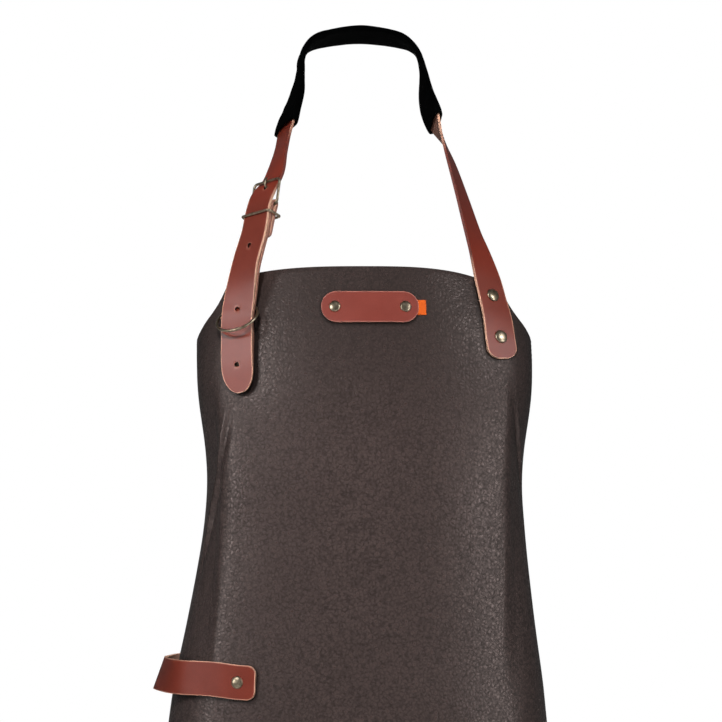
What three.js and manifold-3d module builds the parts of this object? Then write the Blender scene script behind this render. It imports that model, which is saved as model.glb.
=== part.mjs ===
// A leather work apron held in its worn form, in millimetres.
// +Z is up, the wearer faces -Y, and +X is on the right of a viewer in front.
// The origin is where the inside of the neck strap rests on the nape.
import * as THREE from 'three';
import { mergeVertices } from 'three/addons/utils/BufferGeometryUtils.js';
import Module from 'manifold-3d';

const wasm = await Module();
wasm.setup();

// Apron sheet
const apronLength = 800;
const flatHalfWidth = 310;
const sheetThickness = 2;
const napeAboveBib = 236.4;
const frontReach = 210;
const bodyHalfWidth = 160;
const chestRadius = 360;
const sideRadius = 50;
const backRadius = 220;
const topEdgeDropLeft = 13;
const topEdgeDropRight = 21;
const topEdgeDropEnds = 100;
const foldDepth = 6;
const foldHalfWidth = 26;

// Leather straps
const strapWidth = 32;
const strapThickness = 2.6;
const strapSpread = 131;
const loopReach = 0.638 * frontReach;
const strapEndLap = 91;
const strapEndRound = 11;
const strapEndBlunt = 0.16;
const tongueRound = 25;
const tongueBlunt = 0.12;
const buckleStrapRound = 5;
const buckleStrapBlunt = 0.72;
const tonguePastBibTop = 125;
const holeDiameter = 5;
const holesFromTip = [28, 83.5, 147.5, 212.8];
const smallGap = 0.3;
const strapSlack = 1;
const ringLift = 7;

// Fabric sleeve on the neck strap
const sleeveLength = 341;
const sleeveShift = 4;
const sleeveWidth = 39;
const sleeveBulk = 6;
const sleeveMouthBulk = 11;
const sleeveMouthLength = 42;
const sleeveWall = 1;

// Buckle, prong, keeper and ring
const buckleLength = 25;
const metalThickness = 2.6;
const prongDiameter = 2.4;
const prongHoleToBar = 6.5;
const keeperBelowBar = 14;
const keeperDepth = 14.6;
const flapLength = 36;
const prongSlotWidth = 5;
const prongSlotLength = 21;
const prongSlotAboveBar = 3.6;
const frameSideRoom = 1.0;
const frameCorner = 3.9;
const ringOuterDiameter = 45;
const ringWire = 2.8;
const ringTilt = 44;
const ringTurn = 9;
const ringHeightOnTongue = 75;
const ringAhead = 0.6;

// Rivets
const postDiameter = 4;
const domeHeight = 2.6;
const brimShare = 0.28;
const backCapHeight = 1.2;
const backCapGap = 1;
const backCapShare = 0.86;
const strapCapDiameter = 13.4;
const labelCapDiameter = 11.4;
const waistCapDiameter = 12.2;
const boreReach = 14;

// Label patch and side tag
const labelLength = 95;
const labelHeight = 30;
const labelThickness = 2.2;
const labelBelowTop = 40.5;
const labelAside = 2.2;
const labelRivetSpan = 68.6;
const labelEndBlunt = 0.06;
const tagHeight = 14.8;
const tagReach = 7.8;
const tagCovered = 8;
const tagThickness = 0.9;

// Waist belt
const beltWidth = 33.5;
const beltThickness = 3;
const beltBelowTop = 405;
const beltRivetSide = 124;
const beltEndPastRivet = 18;
const beltBackReach = 64;
const beltSplit = 6;
const beltEndRound = 8.5;
const beltEndBlunt = 0.5;
const beltRightRivetIn = 26.4;
const beltRightEndIn = 3.1;
const beltRightStartIn = 43.4;
const claspLength = 44;
const claspWall = 2;

const colours = {
  apron: 0x3b302c,
  strap: 0x7a3128,
  sleeve: 0x0d1114,
  brass: 0x8b7350,
  tag: 0xe8581c,
};

// The sheet, from the top edge down. down is a share of the apron length; edge is the sheet's
// half width on the flat as a share of flatHalfWidth; wide is the body's half width as a share of
// bodyHalfWidth; front is how far the centre stands forward, as a share of frontReach; chest and
// side are the radii across the front and round the sides, as shares of theirs; swing is the
// sideways hang, as a share of bodyHalfWidth.
const sheetRows = [
  { down: 0.000, edge: 0.452, wide: 1.035, front: 0.770, chest: 0.74, side: 1.00, swing: 0 },
  { down: 0.030, edge: 0.484, wide: 1.036, front: 0.812, chest: 0.78, side: 1.00, swing: 0 },
  { down: 0.046, edge: 0.510, wide: 1.036, front: 0.833, chest: 0.81, side: 1.00, swing: 0 },
  { down: 0.061, edge: 0.546, wide: 1.037, front: 0.853, chest: 0.84, side: 1.00, swing: 0 },
  { down: 0.077, edge: 0.590, wide: 1.037, front: 0.872, chest: 0.87, side: 1.00, swing: 0 },
  { down: 0.094, edge: 0.660, wide: 1.037, front: 0.891, chest: 0.90, side: 0.98, swing: 0 },
  { down: 0.120, edge: 0.764, wide: 1.037, front: 0.917, chest: 0.92, side: 0.96, swing: 0 },
  { down: 0.165, edge: 0.865, wide: 1.030, front: 0.956, chest: 0.91, side: 0.98, swing: 0 },
  { down: 0.226, edge: 0.940, wide: 1.000, front: 0.988, chest: 0.86, side: 1.04, swing: 0 },
  { down: 0.270, edge: 0.970, wide: 0.993, front: 1.000, chest: 0.83, side: 1.10, swing: 0 },
  { down: 0.320, edge: 0.990, wide: 1.010, front: 0.998, chest: 0.82, side: 1.16, swing: 0 },
  { down: 0.375, edge: 1.000, wide: 1.040, front: 0.992, chest: 0.84, side: 1.24, swing: -0.008 },
  { down: 0.440, edge: 1.000, wide: 1.084, front: 0.984, chest: 0.88, side: 1.32, swing: -0.020 },
  { down: 0.520, edge: 1.004, wide: 1.146, front: 0.981, chest: 0.92, side: 1.40, swing: -0.034 },
  { down: 0.620, edge: 1.008, wide: 1.200, front: 0.984, chest: 0.97, side: 1.50, swing: -0.040 },
  { down: 0.800, edge: 1.014, wide: 1.265, front: 0.996, chest: 1.03, side: 1.62, swing: -0.040 },
  { down: 1.000, edge: 1.020, wide: 1.315, front: 1.010, chest: 1.08, side: 1.74, swing: -0.040 },
];

// The soft fold below each armhole, from its top down. down is a share of the apron length, out
// how far round the sheet its valley runs, as a share of flatHalfWidth, and deep its depth on each
// side of the wearer, as a share of foldDepth.
const foldRows = [
  { down: 0.140, out: 0.560, deepLeft: 0.0, deepRight: 0.0 },
  { down: 0.190, out: 0.585, deepLeft: 0.7, deepRight: 0.3 },
  { down: 0.240, out: 0.600, deepLeft: 1.0, deepRight: 0.6 },
  { down: 0.310, out: 0.620, deepLeft: 0.8, deepRight: 0.7 },
  { down: 0.400, out: 0.650, deepLeft: 0.4, deepRight: 0.4 },
  { down: 0.520, out: 0.690, deepLeft: 0.0, deepRight: 0.0 },
];

// The neck strap's riveted end on the bib, from its lower end up. down is a share of strapEndLap,
// side of strapSpread.
const strapEndRows = [
  { down: 0.00, side: 0.950 },
  { down: 0.24, side: 0.980 },
  { down: 0.50, side: 1.010 },
  { down: 0.77, side: 1.026 },
  { down: 1.00, side: 1.045 },
];
const strapRivetUpper = 0.21;
const strapRivetLower = 0.75;
const buckleRivetUpper = 0.61;
const buckleRivetLower = 0.74;

// The neck loop between the bib and the nape, from the bib up. side is a share of strapSpread,
// below of napeAboveBib, ahead of loopReach; turn is how far the strap has turned from facing
// forward, in degrees.
const rightLoopRows = [
  { side: 0.870, below: 0.945, ahead: 0.930, turn: 51 },
  { side: 0.820, below: 0.858, ahead: 0.888, turn: 60 },
  { side: 0.744, below: 0.705, ahead: 0.812, turn: 68 },
  { side: 0.664, below: 0.552, ahead: 0.730, turn: 76 },
  { side: 0.611, below: 0.462, ahead: 0.670, turn: 86 },
  { side: 0.546, below: 0.372, ahead: 0.590, turn: 108 },
  { side: 0.496, below: 0.292, ahead: 0.505, turn: 108 },
  { side: 0.476, below: 0.212, ahead: 0.410, turn: 98 },
  { side: 0.463, below: 0.132, ahead: 0.318, turn: 86 },
  { side: 0.430, below: 0.078, ahead: 0.226, turn: 86 },
  { side: 0.366, below: 0.039, ahead: 0.120, turn: 97 },
  { side: 0.270, below: 0.019, ahead: 0.050, turn: 108 },
];
const leftLoopRows = [
  { side: 0.268, below: 0.022, ahead: 0.050, turn: 108 },
  { side: 0.364, below: 0.044, ahead: 0.124, turn: 99 },
  { side: 0.430, below: 0.086, ahead: 0.228, turn: 93 },
  { side: 0.462, below: 0.143, ahead: 0.314, turn: 92 },
  { side: 0.484, below: 0.212, ahead: 0.405, turn: 84 },
  { side: 0.518, below: 0.292, ahead: 0.510, turn: 73 },
  { side: 0.566, below: 0.372, ahead: 0.610, turn: 71 },
  { side: 0.612, below: 0.472, ahead: 0.730, turn: 74 },
  { side: 0.652, below: 0.552, ahead: 0.835, turn: 70 },
  { side: 0.694, below: 0.630, ahead: 0.935, turn: 64 },
  { side: 0.766, below: 0.694, ahead: 1.020, turn: 57 },
  { side: 0.808, below: 0.756, ahead: 1.090, turn: 52 },
  { side: 0.843, below: 0.858, ahead: 1.160, turn: 48 },
  { side: 0.908, below: 0.985, ahead: 1.190, turn: 45 },
];
const napeTurn = 111;

// The tongue over the bib, from the top down: down is a share of its length past the bib's top,
// side a share of strapSpread, and lift how far it stands clear of the rivet domes behind it, as a
// share of ringLift.
const tongueRows = [
  { down: 0.29, side: 0.932, lift: 1.24 },
  { down: 0.42, side: 0.958, lift: 0.90 },
  { down: 0.56, side: 0.972, lift: 0.32 },
  { down: 0.78, side: 0.974, lift: 0.10 },
  { down: 1.00, side: 0.953, lift: -0.12 },
];

// The buckle strap behind the tongue, from its riveted end up. close is how far it has left the
// sheet for the tongue's back, from 0 to 1.
const buckleStrapRows = [
  { down: 0.81, side: 0.985, close: 0 },
  { down: 0.70, side: 0.985, close: 0 },
  { down: 0.60, side: 0.983, close: 0 },
  { down: 0.53, side: 0.980, close: 0.04 },
  { down: 0.45, side: 0.970, close: 0.60 },
];

// The gap between the buckle strap and the neck strap in front of it, as a share of strapSlack,
// by the distance below the buckle's rear bar as a share of flapLength.
const backingRows = [
  { below: 2.60, slack: 1.4 },
  { below: 2.25, slack: 1.3 },
  { below: 1.85, slack: 1.2 },
  { below: 1.35, slack: 1.1 },
  { below: 0.85, slack: 0.9 },
  { below: 0.45, slack: 0.7 },
  { below: 0.12, slack: 0.4 },
];

// The flap behind, from the fold down: below is the distance from the rear bar as a share of
// flapLength, and close how far behind the neck strap it lies, as a share of the fold's reach.
const flapRows = [
  { below: 0.3, close: 0.94 },
  { below: 0.6, close: 0.86 },
  { below: 1.0, close: 0.84 },
];

// The waist belt round the back. side is a share of the body's half width there, back the place
// from the sheet's front to the back of the belt as a share, lift a share of beltWidth, and lean
// how far the belt faces down, in degrees: below 0 its lower edge stands out and it faces up.
const beltRows = [
  { side: -1.020, back: 0.20, lift: 0.09, lean: -5 },
  { side: -1.084, back: 0.29, lift: 0.10, lean: -13 },
  { side: -1.110, back: 0.40, lift: 0.09, lean: -20 },
  { side: -1.080, back: 0.56, lift: 0.02, lean: -12 },
  { side: -0.960, back: 0.76, lift: -0.02, lean: 0 },
  { side: -0.700, back: 0.91, lift: -0.08, lean: 0 },
  { side: -0.360, back: 0.985, lift: -0.10, lean: 0 },
  { side: -0.110, back: 1.00, lift: -0.10, lean: 0 },
  { side: 0.110, back: 1.00, lift: -0.10, lean: 0 },
  { side: 0.340, back: 0.990, lift: -0.08, lean: 0 },
  { side: 0.640, back: 0.93, lift: 0.00, lean: 0 },
  { side: 0.840, back: 0.80, lift: 0.10, lean: 0 },
];

const radians = THREE.MathUtils.degToRad;

// The widest spacing of sections along straps and folds, and of levels down the sheet
const sectionStep = 14;
const foldStep = 8;
const levelStep = 34;
const sheetColumns = 30;

// Reads a table's column at any place, on a smooth curve through its rows.
function column(rows, key, name) {
  const slopeAt = (i) => {
    const before = rows[Math.max(i - 1, 0)];
    const after = rows[Math.min(i + 1, rows.length - 1)];
    return (after[name] - before[name]) / (after[key] - before[key]);
  };
  return (place) => {
    let i = 0;
    while (i < rows.length - 2 && place > rows[i + 1][key]) i += 1;
    const span = rows[i + 1][key] - rows[i][key];
    const t = (place - rows[i][key]) / span;
    if (t < 0) return rows[i][name] + slopeAt(i) * t * span;
    const t2 = t * t;
    const t3 = t2 * t;
    return rows[i][name] * (2 * t3 - 3 * t2 + 1)
      + rows[i + 1][name] * (3 * t2 - 2 * t3)
      + slopeAt(i) * span * (t3 - 2 * t2 + t)
      + slopeAt(i + 1) * span * (t3 - t2);
  };
}

const sheetColumn = {};
for (const name of ['edge', 'wide', 'front', 'chest', 'side', 'swing']) {
  sheetColumn[name] = column(sheetRows, 'down', name);
}

const sheetHalfWidthAt = (down) => flatHalfWidth * sheetColumn.edge(down / apronLength);
const bodyHalfWidthAt = (down) => bodyHalfWidth * sheetColumn.wide(down / apronLength);
const frontAt = (down) => -frontReach * sheetColumn.front(down / apronLength);

const foldOut = column(foldRows, 'down', 'out');
const foldDeep = { left: column(foldRows, 'down', 'deepLeft'), right: column(foldRows, 'down', 'deepRight') };

// How deep the fold below the armhole is at a place on the sheet.
function foldAt(arc, down) {
  const share = down / apronLength;
  if (share <= foldRows[0].down || share >= foldRows.at(-1).down) return 0;
  const across = (Math.abs(arc) - foldOut(share) * flatHalfWidth) / foldHalfWidth;
  const deep = foldDepth * foldDeep[arc < 0 ? 'left' : 'right'](share);
  return deep * Math.exp(-across * across);
}

// A point of the sheet's outer face: arc is measured along the sheet from its centre line, down
// from the middle of the top edge. Each level is a wide front arc, a tight side arc and a back arc.
function sheetPlace(arc, down) {
  const share = down / apronLength;
  const half = bodyHalfWidthAt(down);
  const front = chestRadius * sheetColumn.chest(share);
  const side = sideRadius * sheetColumn.side(share);
  const turn = Math.asin((half - side) / (front - side));
  const away = Math.abs(arc);
  const frontEnd = front * turn;
  const sideEnd = frontEnd + side * (Math.PI / 2 - turn);
  let x = half;
  let back = front - (front - side) * Math.cos(turn);
  if (away < frontEnd) {
    x = front * Math.sin(away / front);
    back = front * (1 - Math.cos(away / front));
  } else if (away < sideEnd) {
    const heading = turn + (away - frontEnd) / side;
    x = (front - side) * Math.sin(turn) + side * Math.sin(heading);
    back = front - (front - side) * Math.cos(turn) - side * Math.cos(heading);
  } else {
    const past = (away - sideEnd) / backRadius;
    x = half - backRadius * (1 - Math.cos(past));
    back += backRadius * Math.sin(past);
  }
  const fade = Math.max(1 - down / topEdgeDropEnds, 0) ** 2;
  const spread = away / (flatHalfWidth * sheetRows[0].edge);
  const deepest = arc < 0 ? topEdgeDropLeft : topEdgeDropRight;
  const drop = deepest * Math.min(fade, 1) * spread ** 3;
  return new THREE.Vector3(
    Math.sign(arc) * x + bodyHalfWidth * sheetColumn.swing(share),
    frontAt(down) + back,
    -napeAboveBib - down - drop,
  );
}

function sheetNormal(arc, down) {
  const step = 1;
  const across = sheetPlace(arc + step, down).sub(sheetPlace(arc - step, down));
  const fall = sheetPlace(arc, down + step).sub(sheetPlace(arc, down - step));
  return fall.cross(across).normalize();
}

const onSheet = (arc, down, stand) => (
  sheetPlace(arc, down).addScaledVector(sheetNormal(arc, down), stand - foldAt(arc, down))
);

// Solids from rings of points

function solidGeometry(points, faces) {
  const geometry = new THREE.BufferGeometry();
  geometry.setAttribute('position', new THREE.Float32BufferAttribute(points.flatMap((p) => p.toArray()), 3));
  geometry.setIndex(faces.flat());
  return geometry;
}

// Joins rings that all have the same number of points, and closes both ends.
function ringsSolid(rings) {
  const count = rings[0].length;
  const faces = [];
  for (let i = 0; i < rings.length - 1; i += 1) {
    for (let j = 0; j < count; j += 1) {
      const a = i * count + j;
      const b = i * count + (j + 1) % count;
      faces.push([a, b, b + count], [a, b + count, a + count]);
    }
  }
  const last = (rings.length - 1) * count;
  for (let j = 1; j < count - 1; j += 1) {
    faces.push([0, j + 1, j], [last, last + j, last + j + 1]);
  }
  return solidGeometry(rings.flat(), faces);
}

// A wall between an outer and an inner grid of points, closed all round its edge.
function wallSolid(outer, inner) {
  const rows = outer.length;
  const columns = outer[0].length;
  const offset = rows * columns;
  const at = (i, j) => i * columns + j;
  const faces = [];
  for (let i = 0; i < rows - 1; i += 1) {
    for (let j = 0; j < columns - 1; j += 1) {
      const [a, b, c, d] = [at(i, j), at(i, j + 1), at(i + 1, j + 1), at(i + 1, j)];
      faces.push([a, d, c], [a, c, b]);
      faces.push([a + offset, c + offset, d + offset], [a + offset, b + offset, c + offset]);
    }
  }
  const rim = [];
  for (let j = 0; j < columns - 1; j += 1) rim.push(at(0, j));
  for (let i = 0; i < rows - 1; i += 1) rim.push(at(i, columns - 1));
  for (let j = columns - 1; j > 0; j -= 1) rim.push(at(rows - 1, j));
  for (let i = rows - 1; i > 0; i -= 1) rim.push(at(i, 0));
  rim.forEach((a, k) => {
    const b = rim[(k + 1) % rim.length];
    faces.push([a, b, b + offset], [a, b + offset, a + offset]);
  });
  return solidGeometry([...outer.flat(), ...inner.flat()], faces);
}

// Cuts through manifold solids

function toManifold(geometry) {
  const bare = geometry.clone();
  bare.deleteAttribute('normal');
  bare.deleteAttribute('uv');
  const merged = mergeVertices(bare, 1e-4);
  return new wasm.Manifold(new wasm.Mesh({
    numProp: 3,
    vertProperties: Float32Array.from(merged.attributes.position.array),
    triVerts: Uint32Array.from(merged.index.array),
  }));
}

function fromManifold(solid) {
  const mesh = solid.getMesh();
  const geometry = new THREE.BufferGeometry();
  geometry.setAttribute('position', new THREE.BufferAttribute(Float32Array.from(mesh.vertProperties), 3));
  geometry.setIndex(new THREE.BufferAttribute(Uint32Array.from(mesh.triVerts), 1));
  return geometry;
}

function cut(geometry, cutters) {
  const whole = cutters.reduce((left, cutter) => left.subtract(toManifold(cutter)), toManifold(geometry));
  return fromManifold(whole);
}

// A round cutter through whatever lies within reach of a point, along an axis.
function boreCutter(point, axis, diameter, reach) {
  const cutter = new THREE.CylinderGeometry(diameter / 2, diameter / 2, 2 * reach, 10);
  const turn = new THREE.Quaternion().setFromUnitVectors(new THREE.Vector3(0, 1, 0), axis);
  cutter.applyQuaternion(turn);
  cutter.translate(point.x, point.y, point.z);
  return cutter;
}

// Straps along a path

// A path through rows of a point and an outward direction. Its sections are closer than step, and
// bend or twist by less than maxBend degrees from one to the next.
function strapPath(rows, step, maxBend = 10) {
  const line = new THREE.CatmullRomCurve3(rows.map((row) => row.point), false, 'centripetal');
  const facing = new THREE.CatmullRomCurve3(rows.map((row) => row.outward), false, 'centripetal');
  const spans = rows.length - 1;
  const sections = [];
  for (let i = 0; i < spans; i += 1) {
    const [here, next] = [i / spans, (i + 1) / spans];
    const bend = line.getTangent(here).angleTo(line.getTangent(next));
    const twist = rows[i].outward.angleTo(rows[i + 1].outward);
    const pieces = Math.max(
      Math.ceil(rows[i].point.distanceTo(rows[i + 1].point) / step),
      Math.ceil(Math.max(bend, twist) / radians(maxBend)),
    );
    for (let k = 0; k < pieces; k += 1) sections.push((i + k / pieces) / spans);
  }
  sections.push(1);
  const small = 1e-3 / spans;
  let along = 0;
  let last = null;
  return sections.map((t) => {
    const point = line.getPoint(t);
    const ahead = line.getPoint(Math.min(t + small, 1));
    const tangent = ahead.sub(line.getPoint(Math.max(t - small, 0))).normalize();
    const across = tangent.clone().cross(facing.getPoint(t)).normalize();
    const outward = across.clone().cross(tangent);
    if (last) along += point.distanceTo(last);
    last = point;
    return { along, point, tangent, across, outward };
  });
}

// The section of a path at a distance along it.
function sectionAt(path, along) {
  let i = 0;
  while (i < path.length - 2 && path[i + 1].along < along) i += 1;
  const [a, b] = [path[i], path[i + 1]];
  const t = (along - a.along) / (b.along - a.along);
  const mix = (name) => a[name].clone().lerp(b[name], t);
  return {
    along,
    point: mix('point'),
    tangent: mix('tangent').normalize(),
    across: mix('across').normalize(),
    outward: mix('outward').normalize(),
  };
}

function pathBetween(path, from, to) {
  const inside = path.filter((section) => section.along > from + 0.5 && section.along < to - 0.5);
  return [sectionAt(path, from), ...inside, sectionAt(path, to)];
}

// A flat strap along a path. taper gives its width as a share at each distance.
function strapSolid(path, width, thickness, taper = () => 1) {
  return ringsSolid(path.map(({ along, point, across, outward }) => {
    const half = width * taper(along) / 2;
    const corner = (side, face) => point.clone()
      .addScaledVector(across, side * half)
      .addScaledVector(outward, face * thickness / 2);
    return [corner(1, 1), corner(1, -1), corner(-1, -1), corner(-1, 1)];
  }));
}

// The width share of a rounded strap end: distance from the end, over the length of the rounding.
function roundShare(distance, length, blunt) {
  const t = THREE.MathUtils.clamp(distance / length, 0, 1);
  return blunt + (1 - blunt) * Math.sqrt(1 - (1 - t) * (1 - t));
}

const roundStops = [0, 0.03, 0.1, 0.25, 0.5, 0.75, 1];

// Adds the sections that a rounded end needs.
function withStops(path, distances) {
  const kept = path.filter((section) => distances.every((d) => Math.abs(section.along - d) > 0.4));
  const extra = distances.map((d) => sectionAt(path, d));
  return [...kept, ...extra].sort((a, b) => a.along - b.along);
}

// The outward direction of a strap that climbs along tangent, turned from facing forward.
function facingAt(tangent, turn) {
  const level = new THREE.Vector3(tangent.z, 0, -tangent.x).normalize();
  const deep = tangent.clone().cross(level);
  const across = level.multiplyScalar(Math.cos(radians(turn)))
    .addScaledVector(deep, Math.sin(radians(turn)));
  return across.cross(tangent).normalize();
}

const strapGap = strapThickness / 2 + smallGap;

// How far the tongue's middle stands off the sheet, clear of the buckle strap and its rivets.
const tongueLift = column(tongueRows, 'down', 'lift');
const tongueStand = (down) => (
  1.5 * strapThickness + domeHeight + 3 * smallGap + ringLift * tongueLift(down)
);

function laidRow(side, down, stand) {
  return { point: onSheet(side, down, stand), outward: sheetNormal(side, down) };
}

function neckStrapRows() {
  const loopPoint = (row, sign) => new THREE.Vector3(
    sign * row.side * strapSpread,
    -row.ahead * loopReach,
    -row.below * napeAboveBib,
  );
  const laid = strapEndRows.slice().reverse().map((row) => (
    laidRow(row.side * strapSpread, row.down * strapEndLap, strapGap + (row.down ? 0 : smallGap))
  ));
  const nape = { side: 0, below: 0, ahead: 0, turn: napeTurn };
  const loop = [
    ...rightLoopRows.map((row) => ({ row, sign: 1 })),
    { row: nape, sign: 1 },
    ...leftLoopRows.map((row) => ({ row, sign: -1 })),
  ].map(({ row, sign }) => ({ point: loopPoint(row, sign), turn: row.turn }));
  const tongue = tongueRows.map((row) => (
    laidRow(-row.side * strapSpread, row.down * tonguePastBibTop, tongueStand(row.down))
  ));
  const points = [laid.at(-1).point, ...loop.map((row) => row.point), tongue[0].point];
  loop.forEach((row, i) => {
    row.outward = facingAt(points[i + 2].clone().sub(points[i]).normalize(), row.turn);
  });
  return [...laid, ...loop, ...tongue];
}

// At the nape the neck strap's middle runs half the sleeve's bulk out from where the neck touches.
const restingFace = facingAt(new THREE.Vector3(-1, 0, 0), napeTurn);
const napeShift = restingFace.clone().multiplyScalar(sleeveBulk / 2);
const neckPath = strapPath(neckStrapRows().map((row) => {
  const share = THREE.MathUtils.smoothstep(row.point.z, -0.35 * napeAboveBib, 0);
  return { ...row, point: row.point.clone().addScaledVector(napeShift, share) };
}), sectionStep);
const neckLength = neckPath.at(-1).along;
const fromTip = (distance) => sectionAt(neckPath, neckLength - distance);

const outerBar = holesFromTip.at(-1) + prongHoleToBar;
const rearBar = outerBar - buckleLength;
const metalHalf = metalThickness / 2;
const barBehind = strapThickness / 2 + strapGap + strapThickness / 2 + 3 * smallGap + metalHalf;
const barAhead = strapThickness / 2 + 3 * smallGap + metalHalf;

// Materials

function material(colour, roughness, metalness = 0) {
  return new THREE.MeshStandardMaterial({ color: colour, roughness, metalness });
}
const apronLeather = material(colours.apron, 0.62);
const strapLeather = material(colours.strap, 0.5);
const sleeveFabric = material(colours.sleeve, 0.9);
const brass = material(colours.brass, 0.38, 1);
const tagFabric = material(colours.tag, 0.85);

const apron = new THREE.Group();

function addPiece(name, geometry, finish) {
  const mesh = new THREE.Mesh(geometry, finish);
  mesh.name = name;
  apron.add(mesh);
  return mesh;
}

// Rivets: each has a domed cap, a post through the layers and a cap behind.

const strapEndSide = column(strapEndRows, 'down', 'side');
const buckleStrapSide = column(buckleStrapRows.slice().reverse(), 'down', 'side');

const endRivet = (place, share) => ({
  name: `strap_rivet_${place}`,
  arc: strapEndSide(share) * strapSpread,
  down: share * strapEndLap,
  cap: strapCapDiameter,
  stand: strapThickness + smallGap,
});

const buckleRivet = (place, share) => ({
  name: `buckle_strap_rivet_${place}`,
  arc: -buckleStrapSide(share) * strapSpread,
  down: share * tonguePastBibTop,
  cap: strapCapDiameter,
  stand: strapThickness + smallGap,
});

const beltDropAtRight = 0.1 * beltWidth;

const rivets = [
  endRivet('upper', strapRivetUpper),
  endRivet('lower', strapRivetLower),
  buckleRivet('upper', buckleRivetUpper),
  buckleRivet('lower', buckleRivetLower),
  { name: 'label_rivet_left', arc: labelAside - labelRivetSpan / 2, down: labelBelowTop,
    cap: labelCapDiameter, stand: labelThickness + smallGap },
  { name: 'label_rivet_right', arc: labelAside + labelRivetSpan / 2, down: labelBelowTop,
    cap: labelCapDiameter, stand: labelThickness + smallGap },
  { name: 'waist_rivet_left', arc: -beltRivetSide, down: beltBelowTop, cap: waistCapDiameter,
    stand: beltThickness + 2 * smallGap },
  { name: 'waist_rivet_right', arc: flatHalfWidth - beltRightRivetIn,
    down: beltBelowTop - beltDropAtRight, cap: waistCapDiameter, stand: beltThickness + 2 * smallGap },
];

function rivetGeometry(capDiameter, stack) {
  const cap = capDiameter / 2;
  const post = postDiameter / 2;
  const back = -stack - backCapGap;
  const backCap = backCapShare * cap;
  const profile = [[0, back - backCapHeight], [0.93 * backCap, back - backCapHeight], [backCap, back]];
  profile.push([post, back], [post, smallGap], [cap, smallGap]);
  const rim = brimShare * domeHeight;
  for (const angle of [0, 40, 90]) {
    const rise = rim + (domeHeight - rim) * Math.sin(radians(angle));
    profile.push([cap * Math.cos(radians(angle)), smallGap + rise]);
  }
  profile.at(-1)[0] = 0;
  const points = profile.map(([r, h]) => new THREE.Vector2(r, h));
  return new THREE.LatheGeometry(points, 12);
}

const boreFor = (rivet) => boreCutter(
  onSheet(rivet.arc, rivet.down, 0),
  sheetNormal(rivet.arc, rivet.down),
  postDiameter + 2 * smallGap,
  boreReach,
);

function addRivets() {
  for (const rivet of rivets) {
    const axis = sheetNormal(rivet.arc, rivet.down);
    const mesh = addPiece(rivet.name, rivetGeometry(rivet.cap, rivet.stand + sheetThickness), brass);
    mesh.position.copy(onSheet(rivet.arc, rivet.down, rivet.stand));
    mesh.quaternion.setFromUnitVectors(new THREE.Vector3(0, 1, 0), axis);
  }
}

// The sheet

function apronBody() {
  const levels = [];
  for (let i = 0; i < sheetRows.length - 1; i += 1) {
    const span = (sheetRows[i + 1].down - sheetRows[i].down) * apronLength;
    const pieces = Math.max(Math.round(span / levelStep), 1);
    for (let k = 0; k < pieces; k += 1) levels.push(sheetRows[i].down * apronLength + span * k / pieces);
  }
  levels.push(apronLength);
  const grid = (stand) => levels.map((down) => {
    const half = sheetHalfWidthAt(down);
    return Array.from({ length: sheetColumns + 1 }, (_, j) => (
      onSheet(half * (2 * j / sheetColumns - 1), down, stand)
    ));
  });
  return cut(wallSolid(grid(0), grid(-sheetThickness)), rivets.map(boreFor));
}

// The long neck strap, from its riveted end over the nape to its punched tongue

function neckStrap() {
  const stops = [
    ...roundStops.map((share) => share * strapEndRound),
    ...roundStops.map((share) => neckLength - share * tongueRound),
  ];
  const taper = (along) => (along < neckLength / 2
    ? roundShare(along, strapEndRound, strapEndBlunt)
    : roundShare(neckLength - along, tongueRound, tongueBlunt));
  const strap = strapSolid(withStops(neckPath, stops), strapWidth, strapThickness, taper);
  const cutters = rivets.filter((rivet) => rivet.name.startsWith('strap_rivet')).map(boreFor);
  for (const distance of holesFromTip) {
    const section = fromTip(distance);
    cutters.push(boreCutter(section.point, section.outward, holeDiameter, strapThickness));
  }
  return cut(strap, cutters);
}

function neckSleeve() {
  const middle = sleeveShift + neckPath.reduce((best, section) => (
    Math.abs(section.point.x) < Math.abs(best.point.x) ? section : best
  )).along;
  const [start, end] = [middle - sleeveLength / 2, middle + sleeveLength / 2];
  const path = withStops(
    pathBetween(neckPath, start, end),
    [start + sleeveMouthLength / 2, end - sleeveMouthLength / 2],
  );
  const half = [[1, -0.45], [1, 0.45], [0.86, 1], [-0.86, 1]];
  const outline = [...half, ...half.map(([side, face]) => [-side, -face])];
  const ring = ({ along, point, across, outward }, inset) => {
    const fromEnd = Math.max(Math.min(along - start, end - along), 0);
    const open = THREE.MathUtils.smoothstep(sleeveMouthLength - fromEnd, 0, sleeveMouthLength);
    const bulk = THREE.MathUtils.lerp(sleeveBulk, sleeveMouthBulk, open);
    return outline.map(([side, face]) => point.clone()
      .addScaledVector(across, (sleeveWidth / 2 - inset) * side)
      .addScaledVector(outward, -(bulk / 2 - inset) * face));
  };
  const outer = ringsSolid(path.map((section) => ring(section, 0)));
  const push = (section, sign) => ({
    ...section, point: section.point.clone().addScaledVector(section.tangent, sign),
  });
  const longer = [push(path[0], -1), ...path.slice(1, -1), push(path.at(-1), 1)];
  const inner = ringsSolid(longer.map((section) => ring(section, sleeveWall)));
  return cut(outer, [inner]);
}

// The buckle strap comes up behind the tongue, folds round the rear bar and ends in a flap.

const barPoint = fromTip(rearBar).point;
const barUp = fromTip(outerBar).point.sub(barPoint).normalize();
const barOut = fromTip(rearBar).outward.add(fromTip(outerBar).outward);
barOut.addScaledVector(barUp, -barOut.dot(barUp)).normalize();
const barCentre = barPoint.clone().addScaledVector(barOut, -barBehind);

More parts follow.
